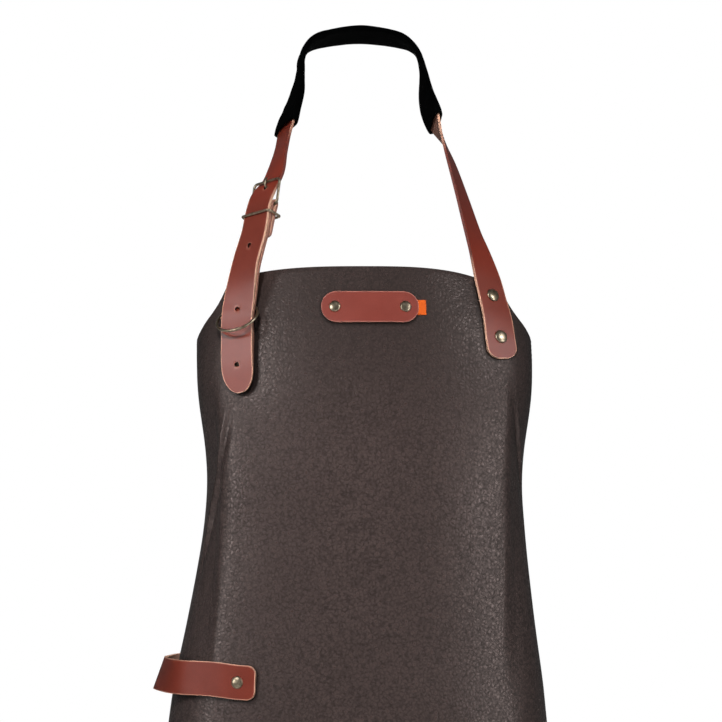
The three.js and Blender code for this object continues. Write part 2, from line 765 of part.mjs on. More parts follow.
function buckleStrap() {
  const rows = buckleStrapRows.map((row) => {
    const behindTongue = tongueStand(row.down) - strapThickness - smallGap;
    const stand = THREE.MathUtils.lerp(strapGap, behindTongue, row.close);
    return laidRow(-row.side * strapSpread, row.down * tonguePastBibTop, stand);
  });
  for (const row of backingRows) {
    const section = fromTip(rearBar - row.below * flapLength);
    const behind = strapThickness + smallGap + strapSlack * row.slack;
    rows.push({
      point: section.point.clone().addScaledVector(section.outward, -behind),
      outward: section.outward,
    });
  }
  const foldRadius = metalHalf + 2 * smallGap + strapThickness / 2;
  for (let angle = 0; angle <= 180; angle += 36) {
    const outward = barOut.clone().multiplyScalar(Math.cos(radians(angle)))
      .addScaledVector(barUp, Math.sin(radians(angle)));
    rows.push({ point: barCentre.clone().addScaledVector(outward, foldRadius), outward });
  }
  for (const row of flapRows) {
    const section = fromTip(rearBar - row.below * flapLength);
    const behind = row.close * (barBehind + foldRadius);
    rows.push({
      point: section.point.clone().addScaledVector(section.outward, -behind),
      outward: section.outward.clone().negate(),
    });
  }
  const path = strapPath(rows, foldStep);
  const whole = path.at(-1).along;
  const stops = [
    ...roundStops.map((share) => share * buckleStrapRound),
    ...roundStops.map((share) => whole - share * buckleStrapRound),
  ];
  const taper = (along) => (
    roundShare(Math.min(along, whole - along), buckleStrapRound, buckleStrapBlunt)
  );
  const strap = strapSolid(withStops(path, stops), strapWidth, strapThickness, taper);
  const slotDepth = 4 * (foldRadius + strapThickness);
  const slot = new THREE.BoxGeometry(prongSlotWidth, prongSlotLength, slotDepth);
  placeOnBar(slot, prongSlotAboveBar, 0);
  const bores = rivets.filter((rivet) => rivet.name.startsWith('buckle_strap_rivet')).map(boreFor);
  return cut(strap, [slot, ...bores]);
}

// Moves a geometry drawn with X across the strap, Y up it and Z outward to the rear bar.
function placeOnBar(geometry, up, out) {
  const basis = new THREE.Matrix4().makeBasis(
    barUp.clone().cross(barOut),
    barUp,
    barOut,
  );
  const centre = barCentre.clone().addScaledVector(barUp, up).addScaledVector(barOut, out);
  geometry.applyMatrix4(basis.setPosition(centre));
  return geometry;
}

function roundedFrame(width, height, corner) {
  const outline = (shape, w, h, r) => {
    shape.moveTo(-w / 2 + r, -h / 2);
    shape.lineTo(w / 2 - r, -h / 2);
    shape.absarc(w / 2 - r, -h / 2 + r, r, -Math.PI / 2, 0);
    shape.lineTo(w / 2, h / 2 - r);
    shape.absarc(w / 2 - r, h / 2 - r, r, 0, Math.PI / 2);
    shape.lineTo(-w / 2 + r, h / 2);
    shape.absarc(-w / 2 + r, h / 2 - r, r, Math.PI / 2, Math.PI);
    shape.lineTo(-w / 2, -h / 2 + r);
    shape.absarc(-w / 2 + r, -h / 2 + r, r, Math.PI, 1.5 * Math.PI);
    return shape;
  };
  const bevel = 0.3 * metalThickness;
  const wire = metalThickness - 2 * bevel;
  const shape = outline(new THREE.Shape(), width - 2 * bevel, height - 2 * bevel, corner);
  const inner = Math.max(corner - wire, 0.8);
  const inside = (size) => size - 2 * bevel - 2 * wire;
  shape.holes.push(outline(new THREE.Path(), inside(width), inside(height), inner));
  const geometry = new THREE.ExtrudeGeometry(shape, {
    depth: wire, bevelEnabled: true, bevelThickness: bevel, bevelSize: bevel, bevelSegments: 1,
    curveSegments: 2,
  });
  geometry.translate(0, 0, -wire / 2);
  return geometry;
}

const frameInnerWidth = strapWidth + 2 * frameSideRoom;
const frameOuterWidth = frameInnerWidth + 2 * metalThickness;

function buckleFrame() {
  const lift = barBehind + barAhead;
  const span = Math.hypot(buckleLength, lift);
  const frame = roundedFrame(frameOuterWidth, span + metalThickness, frameCorner);
  frame.translate(0, span / 2, 0);
  frame.rotateX(Math.atan2(lift, buckleLength));
  return placeOnBar(frame, 0, 0);
}

function buckleProng() {
  const wire = prongDiameter / 2;
  const loopRadius = metalHalf + smallGap + wire + 0.1;
  const top = barBehind + barAhead + metalHalf + smallGap + wire;
  const points = [];
  for (let angle = 250; angle >= 20; angle -= 46) {
    const [up, out] = [Math.sin(radians(angle)), Math.cos(radians(angle))];
    points.push(new THREE.Vector3(0, loopRadius * up, loopRadius * out));
  }
  const hole = buckleLength - prongHoleToBar;
  const behind = barBehind - strapThickness / 2 - smallGap - 1.6 * wire;
  points.push(
    new THREE.Vector3(0, 0.40 * hole, behind),
    new THREE.Vector3(0, 0.82 * hole, behind),
    new THREE.Vector3(0, hole, barBehind),
    new THREE.Vector3(0, hole + 0.3 * prongHoleToBar, barBehind + 0.7 * (top - barBehind)),
    new THREE.Vector3(0, buckleLength, top),
    new THREE.Vector3(0, buckleLength + 0.9 * metalThickness, top - 0.3 * wire),
  );
  const section = new THREE.Shape(Array.from({ length: 6 }, (_, i) => (
    new THREE.Vector2(wire * Math.cos(i * Math.PI / 3), wire * Math.sin(i * Math.PI / 3))
  )));
  const prong = new THREE.ExtrudeGeometry(section, {
    steps: 22, bevelEnabled: false, extrudePath: new THREE.CatmullRomCurve3(points),
  });
  return placeOnBar(prong, 0, 0);
}

function strapKeeper() {
  const section = fromTip(rearBar - keeperBelowBar);
  const front = strapThickness / 2 + smallGap + metalThickness;
  const keeper = roundedFrame(frameOuterWidth, keeperDepth + 2 * metalThickness, metalThickness);
  keeper.translate(0, -keeperDepth / 2 - metalThickness + front, 0);
  const basis = new THREE.Matrix4().makeBasis(
    section.across, section.outward, section.tangent.clone().negate(),
  );
  return keeper.applyMatrix4(basis.setPosition(section.point));
}

// The ring hangs round both straps, its back behind the buckle strap and its front in front.
function hangingRing() {
  const radius = (ringOuterDiameter - ringWire) / 2;
  const ring = new THREE.TorusGeometry(radius, ringWire / 2, 8, 24);
  const section = fromTip(ringHeightOnTongue);
  const up = section.tangent.clone().negate();
  const side = up.clone().cross(section.outward);
  const middle = section.point.clone().addScaledVector(section.outward, ringAhead - strapGap);
  ring.rotateX(-radians(ringTilt));
  ring.rotateZ(radians(ringTurn));
  return ring.applyMatrix4(new THREE.Matrix4().makeBasis(side, up, section.outward).setPosition(middle));
}

// Patches laid on the front of the sheet

// A patch between two arcs; halfHeight gives its half height along it.
function laidPatch(places, down, halfHeight, inner, outer) {
  const grid = (stand) => [-1, 0, 1].map((share) => (
    places.map((arc) => onSheet(arc, down + share * halfHeight(arc), stand))
  ));
  return wallSolid(grid(outer), grid(inner));
}

function tagPatch(grow) {
  const labelEnd = labelAside + labelLength / 2;
  const start = labelEnd - tagCovered - grow;
  const end = labelEnd + tagReach + grow;
  const places = Array.from({ length: 4 }, (_, i) => start + (end - start) * i / 3);
  const low = grow ? 0 : smallGap;
  return laidPatch(places, labelBelowTop, () => tagHeight / 2 + grow, low, smallGap + tagThickness + grow);
}

function labelPatch() {
  const half = labelLength / 2;
  const radius = labelHeight / 2;
  const ends = roundStops.map((share) => half - share * radius);
  const middle = [-0.75, -0.5, -0.25, 0, 0.25, 0.5, 0.75].map((share) => share * (half - radius));
  const shares = [...ends.map((arc) => -arc), ...middle, ...ends.slice().reverse()];
  const places = shares.map((arc) => labelAside + arc);
  const halfHeight = (arc) => radius * roundShare(half - Math.abs(arc - labelAside), radius, labelEndBlunt);
  const patch = laidPatch(places, labelBelowTop, halfHeight, smallGap, smallGap + labelThickness);
  const bores = rivets.filter((rivet) => rivet.name.startsWith('label_rivet')).map(boreFor);
  return cut(patch, [...bores, tagPatch(smallGap)]);
}

// The waist belt

function beltPath() {
  const laid = (arc, down) => laidRow(arc, down, beltThickness / 2 + 2 * smallGap);
  const half = bodyHalfWidthAt(beltBelowTop);
  const front = frontAt(beltBelowTop);
  const depth = beltBackReach - front;
  const rowPoint = (row) => new THREE.Vector3(
    half * row.side,
    front + depth * row.back,
    -napeAboveBib - beltBelowTop + row.lift * beltWidth,
  );
  const start = [
    laid(-(beltRivetSide - beltEndPastRivet), beltBelowTop + 0.02 * beltWidth),
    laid(-beltRivetSide, beltBelowTop),
    laid(-1.2 * beltRivetSide, beltBelowTop - 0.07 * beltWidth),
  ];
  const end = [
    laid(flatHalfWidth - beltRightEndIn, beltBelowTop - 2 * beltDropAtRight),
    laid(flatHalfWidth - beltRightRivetIn, beltBelowTop - beltDropAtRight),
    laid(flatHalfWidth - beltRightStartIn, beltBelowTop - beltDropAtRight / 2),
  ];
  const points = [start.at(-1).point, ...beltRows.map(rowPoint), end[0].point];
  const round = beltRows.map((row, i) => {
    const tangent = points[i + 2].clone().sub(points[i]).setZ(0).normalize();
    const outward = new THREE.Vector3(tangent.y, -tangent.x, 0).negate();
    outward.z = -Math.tan(radians(row.lean));
    return { point: points[i + 1], outward: outward.normalize() };
  });
  return strapPath([...start, ...round, ...end], sectionStep);
}

const waistPath = beltPath();
const waistBack = waistPath.filter((section) => section.point.y > 0);
const waistMiddle = waistBack.reduce((best, section) => (
  Math.abs(section.point.x) < Math.abs(best.point.x) ? section : best
)).along;

function waistBelt(from, to, openEnd, side) {
  const inward = Math.sign(to + from - 2 * openEnd);
  const stops = roundStops.map((share) => openEnd + inward * share * beltEndRound);
  const taper = (along) => roundShare(Math.abs(along - openEnd), beltEndRound, beltEndBlunt);
  const path = withStops(pathBetween(waistPath, from, to), stops);
  const strap = strapSolid(path, beltWidth, beltThickness, taper);
  return cut(strap, rivets.filter((rivet) => rivet.name === `waist_rivet_${side}`).map(boreFor));
}

function waistClasp() {
  const section = sectionAt(waistPath, waistMiddle);
  const room = 2 * smallGap;
  const shape = (target, w, h) => {
    target.moveTo(-w / 2, -h / 2);
    target.lineTo(w / 2, -h / 2);
    target.lineTo(w / 2, h / 2);
    target.lineTo(-w / 2, h / 2);
    return target;
  };
  const inner = [beltWidth + 2 * room, beltThickness + 2 * room];
  const outline = shape(new THREE.Shape(), inner[0] + 2 * claspWall, inner[1] + 2 * claspWall);
  outline.holes.push(shape(new THREE.Path(), ...inner));
  const clasp = new THREE.ExtrudeGeometry(outline, { depth: claspLength, bevelEnabled: false });
  clasp.translate(0, 0, -claspLength / 2);
  const basis = new THREE.Matrix4().makeBasis(
    section.across, section.outward, section.across.clone().cross(section.outward),
  );
  return clasp.applyMatrix4(basis.setPosition(section.point));
}

addPiece('apron_body', apronBody(), apronLeather);
addPiece('neck_strap', neckStrap(), strapLeather);
addPiece('neck_sleeve', neckSleeve(), sleeveFabric);
addPiece('buckle_strap', buckleStrap(), strapLeather);
addPiece('buckle_frame', buckleFrame(), brass);
addPiece('buckle_prong', buckleProng(), brass);
addPiece('strap_keeper', strapKeeper(), brass);
addPiece('hanging_ring', hangingRing(), brass);
addPiece('label_patch', labelPatch(), strapLeather);
addPiece('side_tag', tagPatch(0), tagFabric);
addPiece('waist_belt_left', waistBelt(0, waistMiddle - beltSplit / 2, 0, 'left'), strapLeather);
addPiece(
  'waist_belt_right',
  waistBelt(waistMiddle + beltSplit / 2, waistPath.at(-1).along, waistPath.at(-1).along, 'right'),
  strapLeather,
);
addPiece('waist_clasp', waistClasp(), brass);
addRivets();

export default apron;
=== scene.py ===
"""A leather work apron in its worn form, dressed for its picture.

The frame's solids are metres, +Z up, and the wearer faces -Y. Sizes here are millimetres, as the
solids have them, and MM turns them into metres where a mesh is made.
"""
import math

import bmesh
import bpy
from mathutils import Matrix, Vector, noise


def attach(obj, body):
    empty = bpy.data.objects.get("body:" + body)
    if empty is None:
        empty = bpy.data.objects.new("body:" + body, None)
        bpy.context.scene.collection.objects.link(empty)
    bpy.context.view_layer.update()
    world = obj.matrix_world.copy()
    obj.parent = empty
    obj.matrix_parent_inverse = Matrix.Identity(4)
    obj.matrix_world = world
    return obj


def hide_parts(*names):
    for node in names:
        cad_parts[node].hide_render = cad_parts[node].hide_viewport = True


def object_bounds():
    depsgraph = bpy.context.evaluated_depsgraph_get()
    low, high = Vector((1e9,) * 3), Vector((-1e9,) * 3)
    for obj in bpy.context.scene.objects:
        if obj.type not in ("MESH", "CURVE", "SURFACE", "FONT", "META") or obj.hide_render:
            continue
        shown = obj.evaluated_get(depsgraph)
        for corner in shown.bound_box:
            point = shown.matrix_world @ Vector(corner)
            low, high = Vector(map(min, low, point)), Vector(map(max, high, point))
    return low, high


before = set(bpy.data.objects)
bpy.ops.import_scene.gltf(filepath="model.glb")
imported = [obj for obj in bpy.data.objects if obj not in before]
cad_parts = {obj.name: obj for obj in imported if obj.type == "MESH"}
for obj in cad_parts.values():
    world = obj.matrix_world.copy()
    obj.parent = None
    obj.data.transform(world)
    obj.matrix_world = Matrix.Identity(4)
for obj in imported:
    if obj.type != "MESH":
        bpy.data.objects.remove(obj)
cad_low, cad_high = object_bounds()

MM = 0.001

# Apron sheet
apron_length = 800
flat_half_width = 310
sheet_thickness = 2
sheet_edge_round = 0.35
nape_above_bib = 236.4
front_reach = 210
body_half_width = 160
chest_radius = 360
side_radius = 50
back_radius = 220
top_edge_drop_left = 13
top_edge_drop_right = 21
top_edge_drop_ends = 100
fold_depth = 6
fold_half_width = 26
crease_height = 0.72
crease_half_width = 2.7
crease_dip = 0.9
crease_dip_in = 7
crease_dip_half_width = 4
shoulder_drop = 4
shoulder_out = {-1: 149, 1: 139}
shoulder_width = {-1: 16, 1: 21}
shoulder_rise = 42
shoulder_begins = (90, 160)
shoulder_ends = (300, 460)
sheet_columns = 310
sheet_levels = 140
column_crowding = 0.08

# Slow unevenness of the sheet. A slice is where its noise is read.
ripple_height = 0.9
ripple_size = 130
ripple_stretch = 1.7
ripple_slice = 3.7
fine_ripple_size = (38, 70)
fine_ripple_share = 0.25
fine_ripple_slice = 9.1
ripple_begins = (130, 260)
belt_flat_across = (40, 90)
belt_flat_down = (25, 60)

# Leather straps
strap_width = 32
strap_thickness = 2.6
strap_spread = 131
loop_reach = 134
strap_end_lap = 91
strap_end_round = 11
tongue_round = 25
buckle_strap_round = 5
tongue_past_bib_top = 125
hole_radius = 2.5
holes_from_tip = [28, 83.5, 147.5, 212.8]
small_gap = 0.3
strap_slack = 1
ring_lift = 7
strap_ribs = 24
strap_pace = 3
cut_edge_round = 0.5
rim_reach = 2.2
punched_reach = 1.2
path_step = 14
fold_path_step = 8
path_bend = 10
path_parts = 3

# Painted light and shade along the neck strap: the stretches where its face is painted a brighter red
# for light that hardly reaches it and its edges are painted dark as shade, and how softly they end.
painted_light_shade_stretches = [(98, 236), (606, 686)]
edge_fade = 16

# Fabric sleeve on the neck strap
sleeve_length = 341
sleeve_shift = 4
sleeve_width = 39
sleeve_bulk = 6
sleeve_mouth_bulk = 11
sleeve_mouth_length = 42
sleeve_girth = 92
sleeve_wall = 1
sleeve_crumple = 0.7
sleeve_side_power = 0.42
sleeve_face_power = 0.62
sleeve_stations = 150
sleeve_sides = 64

# Crumples of the sleeve's cloth: size along it, rate of change round it, noise slice and share.
crumple_rows = [(26, 1.6, 4, 1), (9, 2.6, 9, 0.6)]

# Buckle, prong, keeper and ring
buckle_length = 25
metal_thickness = 2.6
prong_diameter = 2.4
prong_hole_to_bar = 6.5
prong_taper = 0.02
prong_steps, prong_sides = 110, 16
wire_steps, wire_sides = 120, 20
ring_steps = 96
keeper_below_bar = 14
keeper_depth = 14.6
flap_length = 36
frame_side_room = 1.0
frame_corner = 3.9
ring_outer_diameter = 45
ring_wire = 2.8
ring_tilt = 44
ring_turn = 9
ring_height_on_tongue = 75
ring_ahead = 0.6

# Rivets
post_diameter = 4
dome_height = 2.6
dome_brim = 0.28 * dome_height
dome_steps = 8
rivet_sides = 32
back_cap_height = 1.2
back_cap_gap = 1
strap_cap_diameter = 13.4
label_cap_diameter = 11.4
waist_cap_diameter = 12.2

# Label patch and side tag
label_length = 95
label_height = 30
label_thickness = 2.2
label_below_top = 40.5
label_aside = 2.2
label_rivet_span = 68.6
label_ribs = 22
label_pace = 2.4
tag_height = 14.8
tag_reach = 7.8
tag_covered = 8
tag_thickness = 0.9
tag_cells = 18
cloth_edge_round = 0.3

# Waist belt
belt_width = 33.5
belt_thickness = 3
belt_below_top = 405
belt_rivet_side = 124
belt_end_past_rivet = 18
belt_back_reach = 64
belt_split = 6
belt_end_round = 8.5
belt_right_rivet_in = 26.4
belt_right_end_in = 3.1
belt_right_start_in = 43.4
belt_drop_at_right = 0.1 * belt_width
clasp_length = 44
clasp_wall = 2
clasp_corner = 1.6
clasp_steps, clasp_sides = 22, 96

# Painted shadow: the dark contact-shadow lines painted on the sheet round the label, the strap end,
# the tongue and the belt: arc, distance below the top, half of the size across and down, corner
# radius and turn in degrees. The small sums move a line to the side of its piece where the shadow
# falls.
painted_shadow_rows = [
    (label_aside, label_below_top + 0.8, label_length / 2, label_height / 2, label_height / 2, 0),
    (strap_spread - 1.4, strap_end_lap / 2 + 0.5, strap_width / 2, strap_end_lap / 2,
     strap_end_round, 8),
    (1.6 - 0.965 * strap_spread, tongue_past_bib_top / 2 + 20, strap_width / 2,
     tongue_past_bib_top / 2 - 20, 15, 0),
    (-belt_rivet_side - 40, belt_below_top - 0.3, 59, belt_width / 2, belt_end_round, -3),
]
# How wide the painted shadow lines spread and how dark they are.
painted_shadow_spread = 3.6
painted_shadow_depth = 0.85

# How far down the painted shade at the top of the bib fades out; it stands in for the dimmer light
# there.
bib_painted_shade = (50, 190)

# The sheet from its top edge down: share of the length, then shares of flat_half_width,
# body_half_width, front_reach, chest_radius and side_radius, and the swing to one side.
EDGE, WIDE, FRONT, CHEST, SIDE, SWING = range(1, 7)
sheet_rows = [
    (0.000, 0.452, 1.035, 0.770, 0.74, 1.00, 0),
    (0.030, 0.484, 1.036, 0.812, 0.78, 1.00, 0),
    (0.046, 0.510, 1.036, 0.833, 0.81, 1.00, 0),
    (0.061, 0.546, 1.037, 0.853, 0.84, 1.00, 0),
    (0.077, 0.590, 1.037, 0.872, 0.87, 1.00, 0),
    (0.094, 0.660, 1.037, 0.891, 0.90, 0.98, 0),
    (0.120, 0.764, 1.037, 0.917, 0.92, 0.96, 0),
    (0.165, 0.865, 1.030, 0.956, 0.91, 0.98, 0),
    (0.226, 0.940, 1.000, 0.988, 0.86, 1.04, 0),
    (0.270, 0.970, 0.993, 1.000, 0.83, 1.10, 0),
    (0.320, 0.990, 1.010, 0.998, 0.82, 1.16, 0),
    (0.375, 1.000, 1.040, 0.992, 0.84, 1.24, -0.008),
    (0.440, 1.000, 1.084, 0.984, 0.88, 1.32, -0.020),
    (0.520, 1.004, 1.146, 0.981, 0.92, 1.40, -0.034),
    (0.620, 1.008, 1.200, 0.984, 0.97, 1.50, -0.040),
    (0.800, 1.014, 1.265, 0.996, 1.03, 1.62, -0.040),
    (1.000, 1.020, 1.315, 1.010, 1.08, 1.74, -0.040),
]

# The soft fold below each armhole: share of the length, valley as a share of flat_half_width, and
# its depth on the viewer's left and right as shares of fold_depth.
fold_rows = [
    (0.140, 0.560, 0.0, 0.0),
    (0.190, 0.585, 0.7, 0.3),
    (0.240, 0.600, 1.0, 0.6),
    (0.310, 0.620, 0.8, 0.7),
    (0.400, 0.650, 0.4, 0.4),
    (0.520, 0.690, 0.0, 0.0),
]

# The sharp crease that runs down beside each fold, on the viewer's left and right: share of the
# length, place as a share of flat_half_width, and height as a share of crease_height.
crease_rows = {
    -1: [
        (0.155, 0.446, 0.0),
        (0.180, 0.466, 0.5),
        (0.215, 0.490, 1.8),
        (0.245, 0.518, 3.0),
        (0.275, 0.556, 4.2),
        (0.300, 0.588, 4.2),
        (0.340, 0.620, 2.0),
        (0.390, 0.650, 0.0),
    ],
    1: [
        (0.110, 0.482, 0.0),
        (0.150, 0.500, 0.3),
        (0.185, 0.522, 1.0),
        (0.215, 0.552, 1.6),
        (0.240, 0.580, 1.6),
        (0.290, 0.620, 0.0),
    ],
}

# Riveted end of the neck strap: share of strap_end_lap, side as a share of strap_spread. Then the
# rivets through it and through the buckle strap, as shares of strap_end_lap and of the tongue.
strap_end_rows = [(0.00, 0.950), (0.24, 0.980), (0.50, 1.010), (0.77, 1.026), (1.00, 1.045)]
strap_rivets_at = {"upper": 0.21, "lower": 0.75}
buckle_rivets_at = {"upper": 0.61, "lower": 0.74}

# The neck loop from the bib up: shares of strap_spread, nape_above_bib and loop_reach, and how far
# the strap has turned from facing forward, in degrees.
right_loop_rows = [
    (0.870, 0.945, 0.930, 51),
    (0.820, 0.858, 0.888, 60),
    (0.744, 0.705, 0.812, 68),
    (0.664, 0.552, 0.730, 76),
    (0.611, 0.462, 0.670, 86),
    (0.546, 0.372, 0.590, 108),
    (0.496, 0.292, 0.505, 108),
    (0.476, 0.212, 0.410, 98),
    (0.463, 0.132, 0.318, 86),
    (0.430, 0.078, 0.226, 86),
    (0.366, 0.039, 0.120, 97),
    (0.270, 0.019, 0.050, 108),
]
left_loop_rows = [
    (0.268, 0.022, 0.050, 108),
    (0.364, 0.044, 0.124, 99),
    (0.430, 0.086, 0.228, 93),
    (0.462, 0.143, 0.314, 92),
    (0.484, 0.212, 0.405, 84),
    (0.518, 0.292, 0.510, 73),
    (0.566, 0.372, 0.610, 71),
    (0.612, 0.472, 0.730, 74),
    (0.652, 0.552, 0.835, 70),
    (0.694, 0.630, 0.935, 64),
    (0.766, 0.694, 1.020, 57),
    (0.808, 0.756, 1.090, 52),
    (0.843, 0.858, 1.160, 48),
    (0.908, 0.985, 1.190, 45),
]
nape_turn = 111

# The tongue over the bib: share of tongue_past_bib_top, side as a share of strap_spread, and lift.
tongue_rows = [
    (0.29, 0.932, 1.24),
    (0.42, 0.958, 0.90),
    (0.56, 0.972, 0.32),
    (0.78, 0.974, 0.10),
    (1.00, 0.953, -0.12),
]

# The buckle strap behind it: the same shares, and how close it lies to the tongue. Then its slack
# behind the tongue and the flap's behind that, by the distance below the rear bar in flap_lengths.
buckle_strap_rows = [
    (0.81, 0.985, 0),
    (0.70, 0.985, 0),
    (0.60, 0.983, 0),
    (0.53, 0.980, 0.04),
    (0.45, 0.970, 0.60),
]
backing_rows = [
    (2.60, 1.4), (2.25, 1.3), (1.85, 1.2), (1.35, 1.1), (0.85, 0.9), (0.45, 0.7), (0.12, 0.4),
]
flap_rows = [(0.3, 0.94), (0.6, 0.86), (1, 0.84)]

# The waist belt round the back: side, place from front to back, lift and lean in degrees.
belt_rows = [
    (-1.020, 0.20, 0.09, -5),
    (-1.084, 0.29, 0.10, -13),
    (-1.110, 0.40, 0.09, -20),
    (-1.080, 0.56, 0.02, -12),
    (-0.960, 0.76, -0.02, 0),
    (-0.700, 0.91, -0.08, 0),
    (-0.360, 0.985, -0.10, 0),
    (-0.110, 1.00, -0.10, 0),
    (0.110, 1.00, -0.10, 0),
    (0.340, 0.990, -0.08, 0),
    (0.640, 0.93, 0.00, 0),
    (0.840, 0.80, 0.10, 0),
]


# Smooth curves through tables and points

def column(rows, value):
    """Reads a column at any place in the first one, on a smooth curve through the rows."""

    def slope(i):
        before, after = rows[max(i - 1, 0)], rows[min(i + 1, len(rows) - 1)]
        return (after[value] - before[value]) / (after[0] - before[0])

    def read(at):
        i = 0
        while i < len(rows) - 2 and at > rows[i + 1][0]:
            i += 1
        span = rows[i + 1][0] - rows[i][0]
        t = (at - rows[i][0]) / span
        if t < 0:
            return rows[i][value] + slope(i) * t * span
        t2, t3 = t * t, t * t * t
        return (
            rows[i][value] * (2 * t3 - 3 * t2 + 1)
            + rows[i + 1][value] * (3 * t2 - 2 * t3)
            + slope(i) * span * (t3 - 2 * t2 + t)
            + slope(i + 1) * span * (t3 - t2)
        )

    return read


def curve_point(points, share):
    """A point on the centripetal curve through some points, at a share of its spans."""
    spans = len(points) - 1
    at = min(max(share, 0.0), 1.0) * spans
    i = min(int(at), spans - 1)
    t = at - i
    p1, p2 = points[i], points[i + 1]
    p0 = points[i - 1] if i > 0 else 2 * p1 - p2
    p3 = points[i + 2] if i + 2 <= spans else 2 * p2 - p1
    d0, d1, d2 = ((b - a).length ** 0.5 for a, b in ((p0, p1), (p1, p2), (p2, p3)))
    d1 = d1 if d1 > 1e-4 else 1.0
    d0 = d0 if d0 > 1e-4 else d1
    d2 = d2 if d2 > 1e-4 else d1
    out = ((p1 - p0) / d0 - (p2 - p0) / (d0 + d1) + (p2 - p1) / d1) * d1
    into = ((p2 - p1) / d1 - (p3 - p1) / (d1 + d2) + (p3 - p2) / d2) * d1
    square = 3 * (p2 - p1) - 2 * out - into
    cube = 2 * (p1 - p2) + out + into
    return p1 + out * t + square * t * t + cube * t * t * t


def smoothstep(x, low, high):
    t = min(max((x - low) / (high - low), 0.0), 1.0)
    return t * t * (3 - 2 * t)


# The worn sheet

sheet_column = {name: column(sheet_rows, name) for name in (EDGE, WIDE, FRONT, CHEST, SIDE, SWING)}
fold_out, fold_left, fold_right = (column(fold_rows, i) for i in (1, 2, 3))
crease_out = {side: column(rows, 1) for side, rows in crease_rows.items()}
crease_high = {side: column(rows, 2) for side, rows in crease_rows.items()}


def edge_at(down):
    return flat_half_width * sheet_column[EDGE](down / apron_length)


def body_half_at(down):
    return body_half_width * sheet_column[WIDE](down / apron_length)


def front_at(down):
    return -front_reach * sheet_column[FRONT](down / apron_length)


def fold_at(arc, down):
    """How deep the fold below the armhole is at a place on the sheet."""
    share = down / apron_length
    if share <= fold_rows[0][0] or share >= fold_rows[-1][0]:
        return 0.0
    across = (abs(arc) - fold_out(share) * flat_half_width) / fold_half_width
    deep = fold_depth * (fold_left if arc < 0 else fold_right)(share)
    return deep * math.exp(-across * across)


def sheet_place(arc, down):
    """A point of the sheet's outer face, by the distance from its centre line and from its top."""
    share = down / apron_length
    half = body_half_at(down)
    front = chest_radius * sheet_column[CHEST](share)
    side = side_radius * sheet_column[SIDE](share)
    turn = math.asin((half - side) / (front - side))
    away = abs(arc)
    front_end = front * turn
    side_end = front_end + side * (math.pi / 2 - turn)
    x, back = half, front - (front - side) * math.cos(turn)
    if away < front_end:
        x, back = front * math.sin(away / front), front * (1 - math.cos(away / front))
    elif away < side_end:
        heading = turn + (away - front_end) / side
        x = (front - side) * math.sin(turn) + side * math.sin(heading)
        back -= side * math.cos(heading)
    else:
        past = (away - side_end) / back_radius
        x = half - back_radius * (1 - math.cos(past))
        back += back_radius * math.sin(past)
    fade = max(1 - down / top_edge_drop_ends, 0) ** 2
    spread = away / (flat_half_width * sheet_rows[0][EDGE])
    deepest = top_edge_drop_left if arc < 0 else top_edge_drop_right
    drop = deepest * min(fade, 1) * spread ** 3
    return Vector((
        math.copysign(x, arc) + body_half_width * sheet_column[SWING](share),
        front_at(down) + back,
        -nape_above_bib - down - drop,
    ))


def sheet_normal(arc, down):
    across = sheet_place(arc + 1, down) - sheet_place(arc - 1, down)
    fall = sheet_place(arc, down + 1) - sheet_place(arc, down - 1)
    return fall.cross(across).normalized()


def on_sheet(arc, down, stand):
    return sheet_place(arc, down) + sheet_normal(arc, down) * (stand - fold_at(arc, down))


# Paths that straps follow

def strap_path(rows, step):
    """Sections along a strap: (along, point, tangent, across, outward)."""
    points, facings = [row[0] for row in rows], [row[1] for row in rows]
    spans = len(rows) - 1

    def heading(share, reach):
        ahead = curve_point(points, min(share + reach, 1.0))
        return (ahead - curve_point(points, max(share - reach, 0.0))).normalized()

    stops = []
    for i in range(spans):
        bend = heading(i / spans, 1e-4).angle(heading((i + 1) / spans, 1e-4))
        twist = facings[i].angle(facings[i + 1])
        pieces = max(
            math.ceil((points[i + 1] - points[i]).length / step),
            math.ceil(max(bend, twist) / math.radians(path_bend)),
        )
        stops += [(i + k / pieces) / spans for k in range(pieces)]
    stops.append(1.0)
    path, along = [], 0.0
    for here, there in zip(stops, stops[1:]):
        length = (curve_point(points, there) - curve_point(points, here)).length
        for k in range(path_parts):
            share = here + (there - here) * k / path_parts
            path.append((along + length * k / path_parts, share))
        along += length
    path.append((along, 1.0))
    sections = []
    for distance, share in path:
        tangent = heading(share, 1e-3 / spans)
        across = tangent.cross(curve_point(facings, share)).normalized()
        point = curve_point(points, share)
        sections.append((distance, point, tangent, across, across.cross(tangent)))
    return sections


def section_at(path, along):
    low, high = 0, len(path) - 1
    while high - low > 1:
        middle = (low + high) // 2
        if path[middle][0] < along:
            low = middle
        else:
            high = middle
    a, b = path[low], path[high]
    t = (along - a[0]) / (b[0] - a[0])
    mixed = [a[i].lerp(b[i], t) for i in range(1, 5)]
    return (along, mixed[0], *(v.normalized() for v in mixed[1:]))


def facing_at(tangent, turn):
    """The outward direction of a strap that climbs along tangent, turned from facing forward."""
    level = Vector((tangent.z, 0, -tangent.x)).normalized()
    deep = tangent.cross(level)
    across = level * math.cos(math.radians(turn)) + deep * math.sin(math.radians(turn))
    return across.cross(tangent).normalized()


strap_gap = strap_thickness / 2 + small_gap
belt_gap = belt_thickness / 2 + 2 * small_gap
tongue_lift = column(tongue_rows, 2)


def tongue_stand(down):
    return 1.5 * strap_thickness + dome_height + 3 * small_gap + ring_lift * tongue_lift(down)


def laid_row(arc, down, stand):
    return on_sheet(arc, down, stand), sheet_normal(arc, down)


